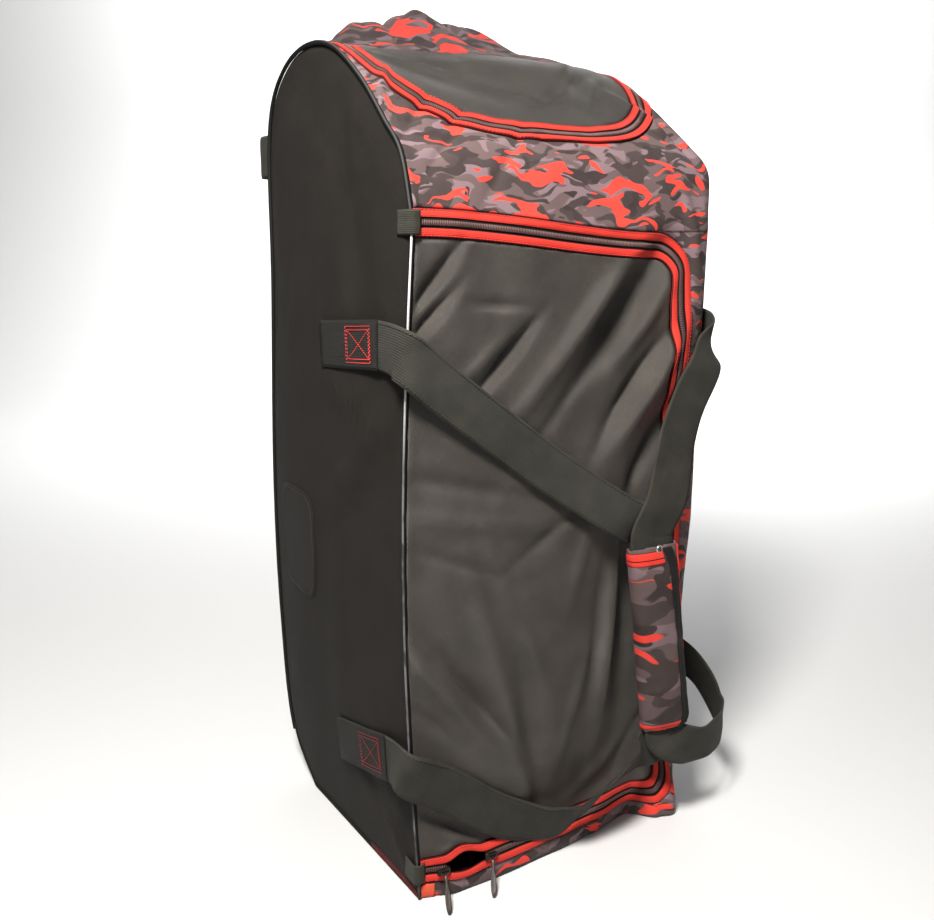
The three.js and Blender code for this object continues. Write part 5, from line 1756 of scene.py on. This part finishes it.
@dataclass
class WrapAxis:
    """Where the padded wrap hangs and how its section is turned."""

    across: float = 0.715
    up: float = 0.404
    stand: float = 0.7
    slant: float = 0.082
    face: float = -20.0

    def __post_init__(self) -> None:
        """Works out the axis and the section's two ways."""
        self.top = RouteRow("lid", self.across, self.up, self.stand, 90, self.face).point()
        over = self.slant * SIZE.width
        drop = math.sqrt(SIZE.wrap_length ** 2 - over ** 2)
        self.foot = self.top + Vector((over, 0, -drop))
        self.axis = (self.foot - self.top).normalized()
        level = RouteRow("lid", 0, 0, 0, 90, self.face).wide()
        self.out = self.axis.cross(level).normalized()
        self.wide = self.out.cross(self.axis).normalized()
        self.layer = SIZE.web_thick / 2 + 4 * SIZE.gap


AXIS = WrapAxis()


@dataclass
class Handles:
    """The two carry handles, the rear handle, and the darker webbing sewn over their ends, which paints
    shade on the side panels.
    """

    fine: int = 9
    shade_cover_thick: float = 0.0011
    box_from: float = 0.42
    box_to: float = 0.86
    box_half: float = 0.0185

    def build(self, shop: Shop) -> None:
        """Builds the handles and the darker covers on their ends, which paint shade."""
        left = self._handle(shop, "left", LEFT_UPPER, LEFT_LOWER, -1)
        right = self._handle(shop, "right", RIGHT_UPPER, RIGHT_LOWER, 1)
        self._rear(shop)
        reach = self.fine * 2
        for name, side, stops, thread in (
            ("left_upper", "left", left[:reach], Finish.THREAD),
            ("left_lower", "left", left[-1:-reach - 1:-1], Finish.MAROON_THREAD),
            ("right_upper", "right", right[:reach], Finish.THREAD),
            ("right_lower", "right", right[-1:-reach - 1:-1], Finish.THREAD),
        ):
            self._shaded_strap_end(shop, name, side, stops, thread)

    def _stops(self, points: list[Vector], wides: list[Vector]) -> list[Stop]:
        """Returns closely spaced stops along a route."""
        for a, b in zip(wides, wides[1:]):
            if a.dot(b) < 0:
                b.negate()
        count = (len(points) - 1) * self.fine
        stops = []
        for k in range(count + 1):
            here = curve_at(points, k / count)
            way = curve_at(points, min(k + 0.5, count) / count) - curve_at(points, max(k - 0.5, 0) / count)
            way.normalize()
            i = min(k // self.fine, len(points) - 2)
            wide = wides[i].lerp(wides[i + 1], smooth(k / self.fine - i, 0, 1))
            wide = (wide - way * wide.dot(way)).normalized()
            stops.append(Stop(here, wide, way.cross(wide).normalized()))
        return stops

    def _handle(
        self, shop: Shop, name: str, upper: list[RouteRow], lower: list[RouteRow], side: int,
    ) -> list[Stop]:
        """Builds one carry handle, through the wrap, and returns its stops."""
        points = [row.point() for row in upper]
        wides = [row.wide() for row in upper]
        for share, apart in WRAP_ROUTE:
            middle = AXIS.top.lerp(AXIS.foot, share)
            points.append(middle + AXIS.out * (side * AXIS.layer * apart))
            wides.append(AXIS.wide.copy())
        points += [row.point() for row in lower]
        wides += [row.wide() for row in lower]
        stops = self._stops(points, wides)
        piece = shop.strip(f"{name}_carry_strap", stops, SIZE.webbing, SIZE.web_thick, Finish.WEBBING)
        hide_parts(f"handle_{name}")
        inset = SIZE.webbing / 2 - 0.003
        for tail, way in (("a", -1), ("b", 1)):
            path = [
                (s.point + s.wide * (way * inset) + s.normal * (SIZE.web_thick / 2), s.normal)
                for s in stops
            ]
            shop.stitches(f"{name}_strap_stitch_{tail}", path, Finish.DARK_THREAD, 0.005, 0.0004)
        return stops

    def _rear(self, shop: Shop) -> None:
        """Builds the rear handle."""
        z = 0.885 * SIZE.height
        under = next(o for o in OUT.stations[OUT.names["base_top"]:] if o.z < z - SIZE.webbing / 2 - 0.012)
        back = under.y + SIZE.gap + SIZE.web_thick / 2
        points = [Vector((x * SIZE.width, back + out * SIZE.rear_stand, z)) for x, out in REAR_HANDLE]
        wides = [Vector((0, 0, 1)) for _ in points]
        stops = self._stops(points, wides)
        piece = shop.strip("rear_strap", stops, SIZE.webbing, SIZE.web_thick, Finish.WEBBING)
        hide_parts("rear_handle")

    def _shaded_strap_end(self, shop: Shop, name: str, side: str, stops: Sequence[Stop], thread: Finish) -> None:
        """Builds a darker webbing cover over a handle's end on a side panel, painting the shade there, with
        its crossed box of stitches.

        Args:
            shop: Makes the pieces.
            name: The end's name.
            side: The panel that it is sewn to.
            stops: The handle's stops from its end towards the front.
            thread: The stitches' finish.
        """
        out = Vector((SIDES[side].way, 0, 0))
        shade_cover = []
        for stop in stops:
            normal = stop.normal if stop.normal.dot(out) > 0 else -stop.normal
            lift = SIZE.web_thick / 2 + self.shade_cover_thick / 2
            shade_cover.append(Stop(stop.point + normal * lift, stop.wide, normal))
        # The dark cover paints the shade on the strap's end
        shop.strip(f"{name}_cover", shade_cover, SIZE.webbing + 0.0012, self.shade_cover_thick, Finish.SHADED_STRAP_END)

        def at(u: float, v: float) -> tuple[Vector, Vector]:
            """Returns a point of the shade cover's face and the way out there."""
            place = lerp(self.box_from, self.box_to, (u + 1) / 2) * (len(shade_cover) - 1)
            k = min(int(place), len(shade_cover) - 2)
            a, b = shade_cover[k], shade_cover[k + 1]
            point = a.point.lerp(b.point, place - k) + a.wide.lerp(b.wide, place - k) * (v * self.box_half)
            return point + a.normal * (self.shade_cover_thick / 2 + 0.0001), a.normal

        for ring, (long, high) in enumerate(((1, 1), (0.9, 0.8))):
            corners = [(-long, -high), (long, -high), (long, high), (-long, high), (-long, -high)]
            path = []
            for (a, b), (c, d) in zip(corners, corners[1:]):
                path += [at(lerp(a, c, k / 14), lerp(b, d, k / 14)) for k in range(15)]
            shop.stitches(f"{name}_box_{ring}", path, thread, 0.0036, 0.0005)
        for tail, way in (("a", -1), ("b", 1)):
            path = [at(lerp(-0.9, 0.9, k / 20), lerp(-0.8 * way, 0.8 * way, k / 20)) for k in range(21)]
            shop.stitches(f"{name}_cross_{tail}", path, thread, 0.0036, 0.0005)


@dataclass
class Wrap:
    """The padded wrap that holds both handles, with its bound edge and coloured bands."""

    lanes: int = 72
    rings: int = 90
    squareness: float = 2.7
    voxel: float = 0.0026
    frames: int = 20
    cap: float = 0.0035

    def build(self, shop: Shop) -> None:
        """Builds the wrap and its trim."""
        bore = (SIZE.webbing / 2 + 2 * SIZE.gap, AXIS.layer + SIZE.web_thick / 2 + 2 * SIZE.gap)
        wide = bore[0] + SIZE.wrap_side
        thick = SIZE.wrap_thick / 2
        points, faces = [], []
        for r in range(self.rings + 1):
            share = r / self.rings
            for angle in angles(self.lanes):
                points.append(self._place(share, angle, wide, thick, self.squareness, True))
        for r in range(self.rings + 1):
            share = r / self.rings
            flare = 1 + 0.4 * (smooth(share, 0.06, 0) + smooth(share, 0.94, 1))
            for angle in angles(self.lanes):
                half = bore[0] + 0.001 * (flare - 1)
                points.append(self._place(share, angle, half, bore[1] * flare, 9, False))
        layer = (self.rings + 1) * self.lanes
        for r in range(self.rings):
            for k in range(self.lanes):
                n = (k + 1) % self.lanes
                a, b = r * self.lanes, (r + 1) * self.lanes
                faces.append((a + k, a + n, b + n, b + k))
                faces.append((layer + a + k, layer + b + k, layer + b + n, layer + a + n))
        end = self.rings * self.lanes
        for k in range(self.lanes):
            n = (k + 1) % self.lanes
            faces.append((n, k, layer + k, layer + n))
            faces.append((end + k, end + n, layer + end + n, layer + end + k))
        piece = shop.piece("wrap_pad", points, faces, Finish.WRAP)
        self._swell(piece, shop, bore[0], bore[1])
        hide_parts("handle_wrap")
        corners = [v.co for v in piece.data.vertices]
        skin = BVHTree.FromPolygons(corners, [p.vertices for p in piece.data.polygons])
        self._trim(shop, skin)

    def _swell(self, piece: Piece, shop: Shop, half: float, deep: float) -> None:
        """Fills the wrap's padding by a short cloth simulation that leaves its bore alone.

        Args:
            piece: The wrap.
            shop: Knows where the bag stands.
            half: Half the bore's width.
            deep: Half the bore's depth.
        """
        copy = bpy.data.objects.new("wrap_soft", piece.data.copy())
        scene = bpy.context.scene
        scene.collection.objects.link(copy)
        remesh = copy.modifiers.new("remesh", "REMESH")
        remesh.mode = "VOXEL"
        remesh.voxel_size = self.voxel
        graph = bpy.context.evaluated_depsgraph_get()
        mesh = bpy.data.meshes.new_from_object(copy.evaluated_get(graph))
        copy.modifiers.clear()
        copy.data = mesh
        start = [v.co.copy() for v in mesh.vertices]
        held = copy.vertex_groups.new(name="held")
        for i, point in enumerate(start):
            away = point - shop.shift - AXIS.top
            away -= AXIS.axis * away.dot(AXIS.axis)
            inside = abs(away.dot(AXIS.wide)) < half + 0.0012 and abs(away.dot(AXIS.out)) < deep * 1.5
            if inside:
                held.add([i], 1.0, "REPLACE")
        cloth = copy.modifiers.new("cloth", "CLOTH")
        cloth.settings.use_pressure = True
        cloth.settings.uniform_pressure_force = 4
        cloth.settings.vertex_group_mass = "held"
        cloth.settings.effector_weights.gravity = 0
        for frame in range(1, self.frames + 1):
            scene.frame_set(frame)
        graph = bpy.context.evaluated_depsgraph_get()
        swollen = [v.co.copy() for v in copy.evaluated_get(graph).data.vertices]
        copy.modifiers.clear()
        for vertex, before, after in zip(mesh.vertices, start, swollen):
            moved = after - before
            if moved.length > self.cap:
                moved *= self.cap / moved.length
            vertex.co = before + moved
        smoother = copy.modifiers.new("rounder", "SUBSURF")
        smoother.levels = smoother.render_levels = 1
        graph = bpy.context.evaluated_depsgraph_get()
        final = bpy.data.meshes.new_from_object(copy.evaluated_get(graph))
        final.polygons.foreach_set("use_smooth", [True] * len(final.polygons))
        scene.frame_set(1)
        bpy.data.objects.remove(copy)
        piece.data = final
        piece.data.name = "wrap_pad"

    def _place(
        self, share: float, angle: float, wide: float, thick: float, power: float, soft: bool,
    ) -> Vector:
        """Returns a place of the wrap's outer or inner face."""
        c, d = math.cos(angle), math.sin(angle)
        u = powered(c, 2 / power)
        v = powered(d, 2 / power)
        if soft:
            end = min(share, 1 - share) * SIZE.wrap_length
            thick *= 0.78 + 0.22 * smooth(end, 0, 0.03)
            thick *= 1 - 0.1 * smooth(end, 0.008, 0.004) + 0.05 * ripple(share * 9, angle, 2)
            crease = math.exp(-(((share - 0.53) / 0.02) ** 2))
            crease += 0.6 * math.exp(-(((share - 0.72) / 0.018) ** 2))
            thick -= 0.0022 * crease * (0.6 + 0.4 * ripple(angle * 2, 0, 9))
            thick += 0.0009 * ripple(u * 2.5, share * 22, 6.1)
            wide += 0.0008 * ripple(share * 12, v, 3.3)
        return AXIS.top.lerp(AXIS.foot, share) + AXIS.wide * (u * wide) + AXIS.out * (v * thick)

    @staticmethod
    def _on(shop: Shop, skin: BVHTree, share: float, angle: float) -> tuple[Vector, Vector]:
        """Finds a place on the finished wrap.

        Args:
            shop: Knows where the bag stands.
            skin: The wrap's surface.
            share: The share of its length.
            angle: The angle round its axis, from its right edge to its front.

        Returns:
            The point and the way out from the axis there.
        """
        middle = AXIS.top.lerp(AXIS.foot, share)
        way = (AXIS.wide * math.cos(angle) + AXIS.out * math.sin(angle)).normalized()
        start = middle + shop.shift + way * 0.08
        hit = skin.ray_cast(start, -way)[0]
        if hit is None:
            return middle + way * 0.02, way
        return hit - shop.shift, way

    def _trim(self, shop: Shop, skin: BVHTree) -> None:
        """Builds the red band at the top, the red line at the foot, the black bound edge and the snap."""
        for name, low, high, start, stop, lift in (
            ("wrap_red_band", 0.02, 0.085, 55, 215, 0.0009),
            ("wrap_foot_line", 0.962, 0.978, 20, 200, 0.0008),
        ):
            self._patch(shop, skin, name, low, high, start, stop, lift)
        for name, angle, half, finish, lift in (
            ("wrap_edge", 27, 0.006, Finish.DARK_TAPE, 0.0012),
            ("wrap_edge_line", 4, 0.0012, Finish.RED, 0.0016),
        ):
            self._edge(shop, skin, name, math.radians(angle), half, finish, lift)
        self._snap(shop, skin)

    def _patch(
        self, shop: Shop, skin: BVHTree, name: str, low: float, high: float, start: float, stop: float,
        lift: float,
    ) -> None:
        """Builds a strip of red tape across part of the wrap."""
        columns, rows = 44, 10

        def at(i: int, j: int) -> GridPoint:
            """Returns a grid point and its place on the cloth."""
            angle = math.radians(lerp(stop, start, i / columns))
            share = lerp(high, low, j / rows)
            point, way = self._on(shop, skin, share, angle)
            return point + way * lift, (share * SIZE.wrap_length, angle * 0.02)

        shop.sheet(name, columns, rows, at, lift + 0.0006, Finish.RED, edge=0.0003, pucker=0)

    def _edge(
        self, shop: Shop, skin: BVHTree, name: str, angle: float, half: float, finish: Finish, lift: float,
    ) -> None:
        """Builds a strip down the wrap's closing edge."""
        stops = []
        for k in range(61):
            share = lerp(0.012, 0.988, k / 60)
            a = angle + math.radians(lerp(7, -5, share))
            point, way = self._on(shop, skin, share, a)
            beside = self._on(shop, skin, share, a + 0.12)[0]
            side = (beside - point).normalized()
            normal = side.cross(AXIS.axis).normalized()
            if normal.dot(way) < 0:
                normal.negate()
            stops.append(Stop(point + normal * lift * 0.5, side, normal))
        shop.strip(name, stops, 2 * half, lift, finish)

    def _snap(self, shop: Shop, skin: BVHTree) -> None:
        """Builds the small ringed snap at the wrap's top edge."""
        centre, way = self._on(shop, skin, 0.012, math.radians(66))
        side = AXIS.axis.cross(way).normalized()
        up = way.cross(side).normalized()
        ring = ((0.0045, 0), (0.0046, 0.0012), (0.0038, 0.002), (0.0029, 0.0013))
        cap = ((0.0031, 0), (0.0029, 0.0015), (0.0018, 0.0023), (0.0003, 0.0026))
        for name, finish, profile in (
            ("wrap_snap_ring", Finish.RING, ring), ("wrap_snap_cap", Finish.PULL, cap),
        ):
            lanes = 24
            points = []
            for radius, rise in profile:
                for a in angles(lanes):
                    points.append(centre + (side * math.cos(a) + up * math.sin(a)) * radius + way * rise)
            faces = tube_faces(len(profile), lanes)
            shop.piece(name, points, faces, finish)


@dataclass
class Hardware:
    """The two sliders with their moulded pulls, the seam tabs and the corner binding."""

    slider_length: float = 0.015
    slider_width: float = 0.009
    slider_thick: float = 0.0045
    pull_length: float = 0.038
    pull_width: float = 0.0064
    pull_thick: float = 0.0034
    tab_width: float = 0.024
    tab_reach: float = 0.02

    def build(self, shop: Shop) -> None:
        """Builds the sliders, pulls, tabs and binding."""
        nose = self.slider_length / 2
        self._slider(shop, "left", SIZE.lens_start - nose, Vector((-0.4, -1, 0)), 1)
        self._slider(shop, "right", SIZE.lens_start + SIZE.lens_length + nose, Vector((-0.6, -1, 0)), -1)
        self._tab(shop, "top", SIZE.zip_top)
        self._tab(shop, "bottom", SIZE.zip_foot)
        self._binding(shop)
        self._corner(shop)

    def _slider(self, shop: Shop, name: str, x: float, tip: Vector, way: int) -> None:
        """Builds a slider's body, its bridge and its pull."""
        seats = []
        for end in (-1, 0, 1):
            for edge in (-1, 1):
                place = (x + end * self.slider_length / 2, SIZE.zip_foot + edge * self.slider_width / 2)
                o = CLOTH.point(*place)[0]
                seats.append(o.y)
        face = min(seats) - SIZE.gap
        half = self.slider_width / 2
        rows = ((-1, 0.62), (-0.8, 0.8), (-0.2, 0.78), (0.35, 1), (0.85, 0.98), (1, 0.8))
        points = []
        lanes = 16
        for share, wide in rows:
            tall = self.slider_thick * (1 if abs(share) < 0.9 else 0.72)
            for a in angles(lanes):
                c = powered(math.cos(a), 0.55)
                d = powered(math.sin(a), 0.55)
                points.append(Vector((
                    x + way * share * self.slider_length / 2,
                    face - self.slider_thick / 2 + d * tall / 2,
                    SIZE.zip_foot + c * wide * half,
                )))
        faces = tube_faces(len(rows), lanes)
        body = shop.piece(f"{name}_slider", points, faces, Finish.SLIDER)
        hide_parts(f"slider_{name}")
        arch = []
        for k in range(13):
            a = math.pi * k / 12
            arch.append(Vector((
                x + math.cos(a) * self.slider_length * 0.34,
                face - self.slider_thick - math.sin(a) * 0.0022 + 0.0004,
                SIZE.zip_foot,
            )))
        self._tube(shop, f"{name}_bridge", arch, [0.0009] * 13, Finish.SLIDER)
        hang = face - self.slider_thick - SIZE.gap - self.pull_thick / 2
        start = Vector((x, hang, SIZE.zip_foot - half / 2))
        low = self.pull_thick / 2 + SIZE.gap
        reach = math.sqrt(self.pull_length ** 2 - (start.z - low) ** 2)
        stop = start + tip.normalized() * reach
        stop.z = low
        self._pull(shop, name, start, stop)

    def _pull(self, shop: Shop, name: str, start: Vector, stop: Vector) -> None:
        """Builds a moulded pull with a waist, a grip and a slot."""
        axis = (stop - start).normalized()
        side = axis.cross(Vector((0, 0, 1))).normalized()
        normal = axis.cross(side)
        shape = (
            (0.0, 0.4, 0.6), (0.03, 0.52, 0.8), (0.1, 0.6, 0.8), (0.2, 0.46, 0.7), (0.3, 0.5, 0.75),
            (0.42, 0.8, 0.95), (0.55, 0.98, 1), (0.7, 1, 1), (0.85, 0.92, 0.95), (0.95, 0.68, 0.8),
            (1.0, 0.36, 0.5),
        )
        lanes = 16
        points = []
        for share, wide, thick in shape:
            middle = start.lerp(stop, share)
            for a in angles(lanes):
                c = powered(math.cos(a), 0.7)
                d = powered(math.sin(a), 0.7)
                groove = 1 - 0.35 * (1 if 0.4 < share < 0.9 and abs(math.cos(a)) < 0.5 else 0)
                points.append(
                    middle + side * (c * wide * self.pull_width / 2)
                    + normal * (d * thick * groove * self.pull_thick / 2)
                )
        faces = tube_faces(len(shape), lanes)
        piece = shop.piece(f"{name}_pull", points, faces, Finish.PULL)
        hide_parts(f"pull_{name}")

    @staticmethod
    def _tube(shop: Shop, name: str, path: Sequence[Vector], radii: Sequence[float], finish: Finish) -> None:
        """Builds a round bar along a path in the plane of x and y."""
        lanes = 8
        points = []
        up = Vector((0, 0, 1))
        for j, p in enumerate(path):
            way = (path[min(j + 1, len(path) - 1)] - path[max(j - 1, 0)]).normalized()
            side = way.cross(up).normalized()
            for a in angles(lanes):
                points.append(p + (side * math.cos(a) + up * math.sin(a)) * radii[j])
        faces = tube_faces(len(path), lanes)
        shop.piece(name, points, faces, finish)

    def _tab(self, shop: Shop, name: str, z: float) -> None:
        """Builds a webbing tab folded over the left piping."""
        edge = CLOTH.left_edge(0, z)
        out = SIZE.piping + SIZE.gap + SIZE.web_thick
        path = [Vector((SIDES["left"].x_at(self.tab_reach, z) - 0.0022, self.tab_reach, z))]
        path.append(Vector((edge - out * 0.98, SIZE.piping + SIZE.web_thick + 0.003, z)))
        for k in range(9):
            a = math.pi / 2 * k / 8
            path.append(Vector((edge - out * math.cos(a), -out * math.sin(a), z)))
        path.append(Vector((edge + SIZE.seam + out * 0.8, -out * 0.62, z)))
        up = Vector((0, 0, 1))
        stops = []
        for k in range(41):
            here = curve_at(path, k / 40)
            ahead, behind = curve_at(path, min(k + 0.5, 40) / 40), curve_at(path, max(k - 0.5, 0) / 40)
            way = (ahead - behind).normalized()
            stops.append(Stop(here, up, way.cross(up).normalized()))
        piece = shop.strip(f"{name}_tab", stops, self.tab_width, 0.0014, Finish.TAB)
        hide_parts(f"seam_tab_{name}")

    @staticmethod
    def _binding(shop: Shop) -> None:
        """Builds the maroon binding along the front of the left panel's lower edge."""
        low = [o for o in OUT.stations[:OUT.names["toe_front"] + 1] if o.y < 0.33 * SIZE.depth]
        stops = []
        for o in low:
            rim_x = CLOTH.left_edge(o.y, o.z)
            point = Vector((rim_x - 0.0007, o.y - o.ny * 0.0055, o.z - o.nz * 0.0055))
            stops.append(Stop(point, Vector((0, o.ny, o.nz)), Vector((-1, 0, 0))))
        shop.strip("left_foot_binding", stops, 0.0085, 0.0014, Finish.BINDING)

    @staticmethod
    def _corner(shop: Shop) -> None:
        """Builds the folded red end of the tape at the near bottom corner."""
        columns, rows = 10, 10

        def at(i: int, j: int) -> GridPoint:
            """Returns a grid point and its place on the cloth."""
            x = lerp(0.0006, 0.015, i / columns)
            s = lerp(0.001, 0.0175, j / rows)
            return CLOTH.point(x, s, 0.0017)[0], (x, s)

        shop.sheet("corner_tape_end", columns, rows, at, 0.0012, Finish.CORNER, edge=0.0003, pucker=0.0001)


@dataclass
class FlankPatch:
    """The plain woven patch on the left panel."""

    across: float = 0.69
    up: float = 0.381
    width: float = 0.112
    height: float = 0.132

    def build(self, shop: Shop) -> None:
        """Builds the patch and its edge stitching."""
        side = SIDES["left"]
        rings, lanes = 12, 64
        points, places, faces = [], [], []
        rim = []

        def at(u: float, v: float, lift: float) -> Vector:
            """Returns a place of the patch, lifted off the panel."""
            y = self.across * SIZE.depth + u * self.width / 2
            z = self.up * SIZE.height + v * self.height / 2
            fold = fold_lift(SIDE_FOLDS, y, z, SIZE.depth)
            return Vector((side.x_at(y, z) - side.slack(y, z) - fold - lift, y, z))

        for depth in (0.0014, -0.0002):
            for r in range(rings):
                share = 1 - r / rings
                for a in angles(lanes):
                    c = powered(math.cos(a), 0.4) * share
                    d = powered(math.sin(a), 0.4) * share
                    rise = depth if r or depth < 0 else depth - 0.0008
                    points.append(at(c, d, rise))
                    places.append((c * self.width / 2, d * self.height / 2))
                    if depth > 0 and r == 1:
                        rim.append((points[-1].copy() - Vector((0.0003, 0, 0)), Vector((-1, 0, 0))))
            points.append(at(0, 0, depth))
            places.append((0, 0))
        layer = rings * lanes + 1
        for k in range(lanes):
            n = (k + 1) % lanes
            for r in range(rings - 1):
                quad = (r * lanes + k, (r + 1) * lanes + k, (r + 1) * lanes + n, r * lanes + n)
                faces.append(quad)
                faces.append(tuple(q + layer for q in reversed(quad)))
            last = (rings - 1) * lanes
            faces.append((last + k, layer - 1, last + n))
            faces.append((last + n + layer, 2 * layer - 1, last + k + layer))
            faces.append((k, n, n + layer, k + layer))
        piece = shop.piece("plain_patch", points, faces, Finish.PATCH, places)
        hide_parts("flank_patch")
        shop.stitches("plain_patch_stitch", rim + rim[:1], Finish.DARK_THREAD, 0.0034, 0.0004)


@dataclass
class Studio:
    """The pale floor, the soft lights and the camera at the photograph's view."""

    eye: tuple[float, float, float] = (-0.464, -0.8325, 0.69)
    heading: float = 32.2
    pitch: float = 12.0
    lens: float = 38.2

    def build(self, shop: Shop) -> None:
        """Builds the whole stage."""
        self._camera(shop)
        self._floor()
        self._light("key", (-0.85, -0.8, 1.7), 0.35, 76, (1, 0.975, 0.94))
        self._light("fill", (0.9, -1.9, 2.3), 1.6, 5, (0.98, 0.98, 1))
        self._light("rim", (1.9, 0.9, 2.4), 1.4, 5, (1, 1, 1))
        self._light("backdrop", (1.9, 2.3, 2.7), 3.2, 270, (1, 1, 1), (2.5, 3.9, 0.7))
        world = bpy.data.worlds.new("studio")
        world.use_nodes = True
        sky = world.node_tree.nodes["Background"]
        sky.inputs["Color"].default_value = (0.9, 0.92, 0.95, 1)
        sky.inputs["Strength"].default_value = 0.17
        bpy.context.scene.world = world
        bpy.context.scene.view_settings.view_transform = "Standard"

    def _camera(self, shop: Shop) -> None:
        """Sets the camera."""
        data = bpy.data.cameras.new("camera")
        data.lens = self.lens
        data.sensor_width = 36
        data.clip_start = 0.01
        camera = bpy.data.objects.new("camera", data)
        camera.location = Vector(self.eye) + shop.shift
        camera.rotation_euler = Euler((math.radians(90 - self.pitch), 0, -math.radians(self.heading)))
        bpy.context.scene.collection.objects.link(camera)
        bpy.context.scene.camera = camera

    @staticmethod
    def _floor() -> None:
        """Builds the floor, which curves up into a backdrop."""
        near, bend, radius, top, half, under = -6.0, 3.0, 1.5, 6.0, 9, 0.0002
        profile = [(near, 0.0), (bend, 0.0)]
        for k in range(1, 13):
            a = math.pi / 2 * k / 12
            profile.append((bend + radius * math.sin(a), radius - radius * math.cos(a)))
        profile.append((bend + radius, top))
        points, faces = [], []
        for y, z in profile:
            points += [(-half, y, z - under), (half, y, z - under)]
        for k in range(len(profile) - 1):
            faces.append((2 * k, 2 * k + 1, 2 * k + 3, 2 * k + 2))
        mesh = bpy.data.meshes.new("floor")
        mesh.from_pydata(points, [], faces)
        mesh.materials.append(Finish.FLOOR.material())
        mesh.polygons.foreach_set("use_smooth", [True] * len(mesh.polygons))
        floor = bpy.data.objects.new("floor", mesh)
        floor.rotation_euler = Euler((0, 0, -math.radians(32)))
        bpy.context.scene.collection.objects.link(floor)
        floor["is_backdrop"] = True

    @staticmethod
    def _light(
        name: str, place: tuple[float, float, float], size: float, power: float, colour: Colour,
        towards: tuple[float, float, float] = (0, 0, 0.45),
    ) -> None:
        """Adds a soft square light that looks at a place, the bag's middle if none is given."""
        data = bpy.data.lights.new(name, "AREA")
        data.size = size
        data.energy = power
        data.color = colour
        light = bpy.data.objects.new(name, data)
        light.location = place
        light.rotation_euler = (Vector(towards) - Vector(place)).to_track_quat("-Z", "Y").to_euler()
        bpy.context.scene.collection.objects.link(light)


def main() -> list:
    """Builds the scene.

    Returns:
        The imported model's box, as it was before any piece was added.
    """
    logging.basicConfig(level=logging.INFO, format="%(message)s")
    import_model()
    packed = [list(corner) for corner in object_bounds()]
    shop = Shop()
    lid_zip, pocket_zip = LidZip(), PocketZip()
    Studio().build(shop)
    for part in (
        Panels(lid_zip, pocket_zip), lid_zip, pocket_zip, SidePanels(), Handles(), Wrap(), Hardware(),
        FlankPatch(),
    ):
        part.build(shop)
    return packed


if __name__ == "__main__":
    before = main()
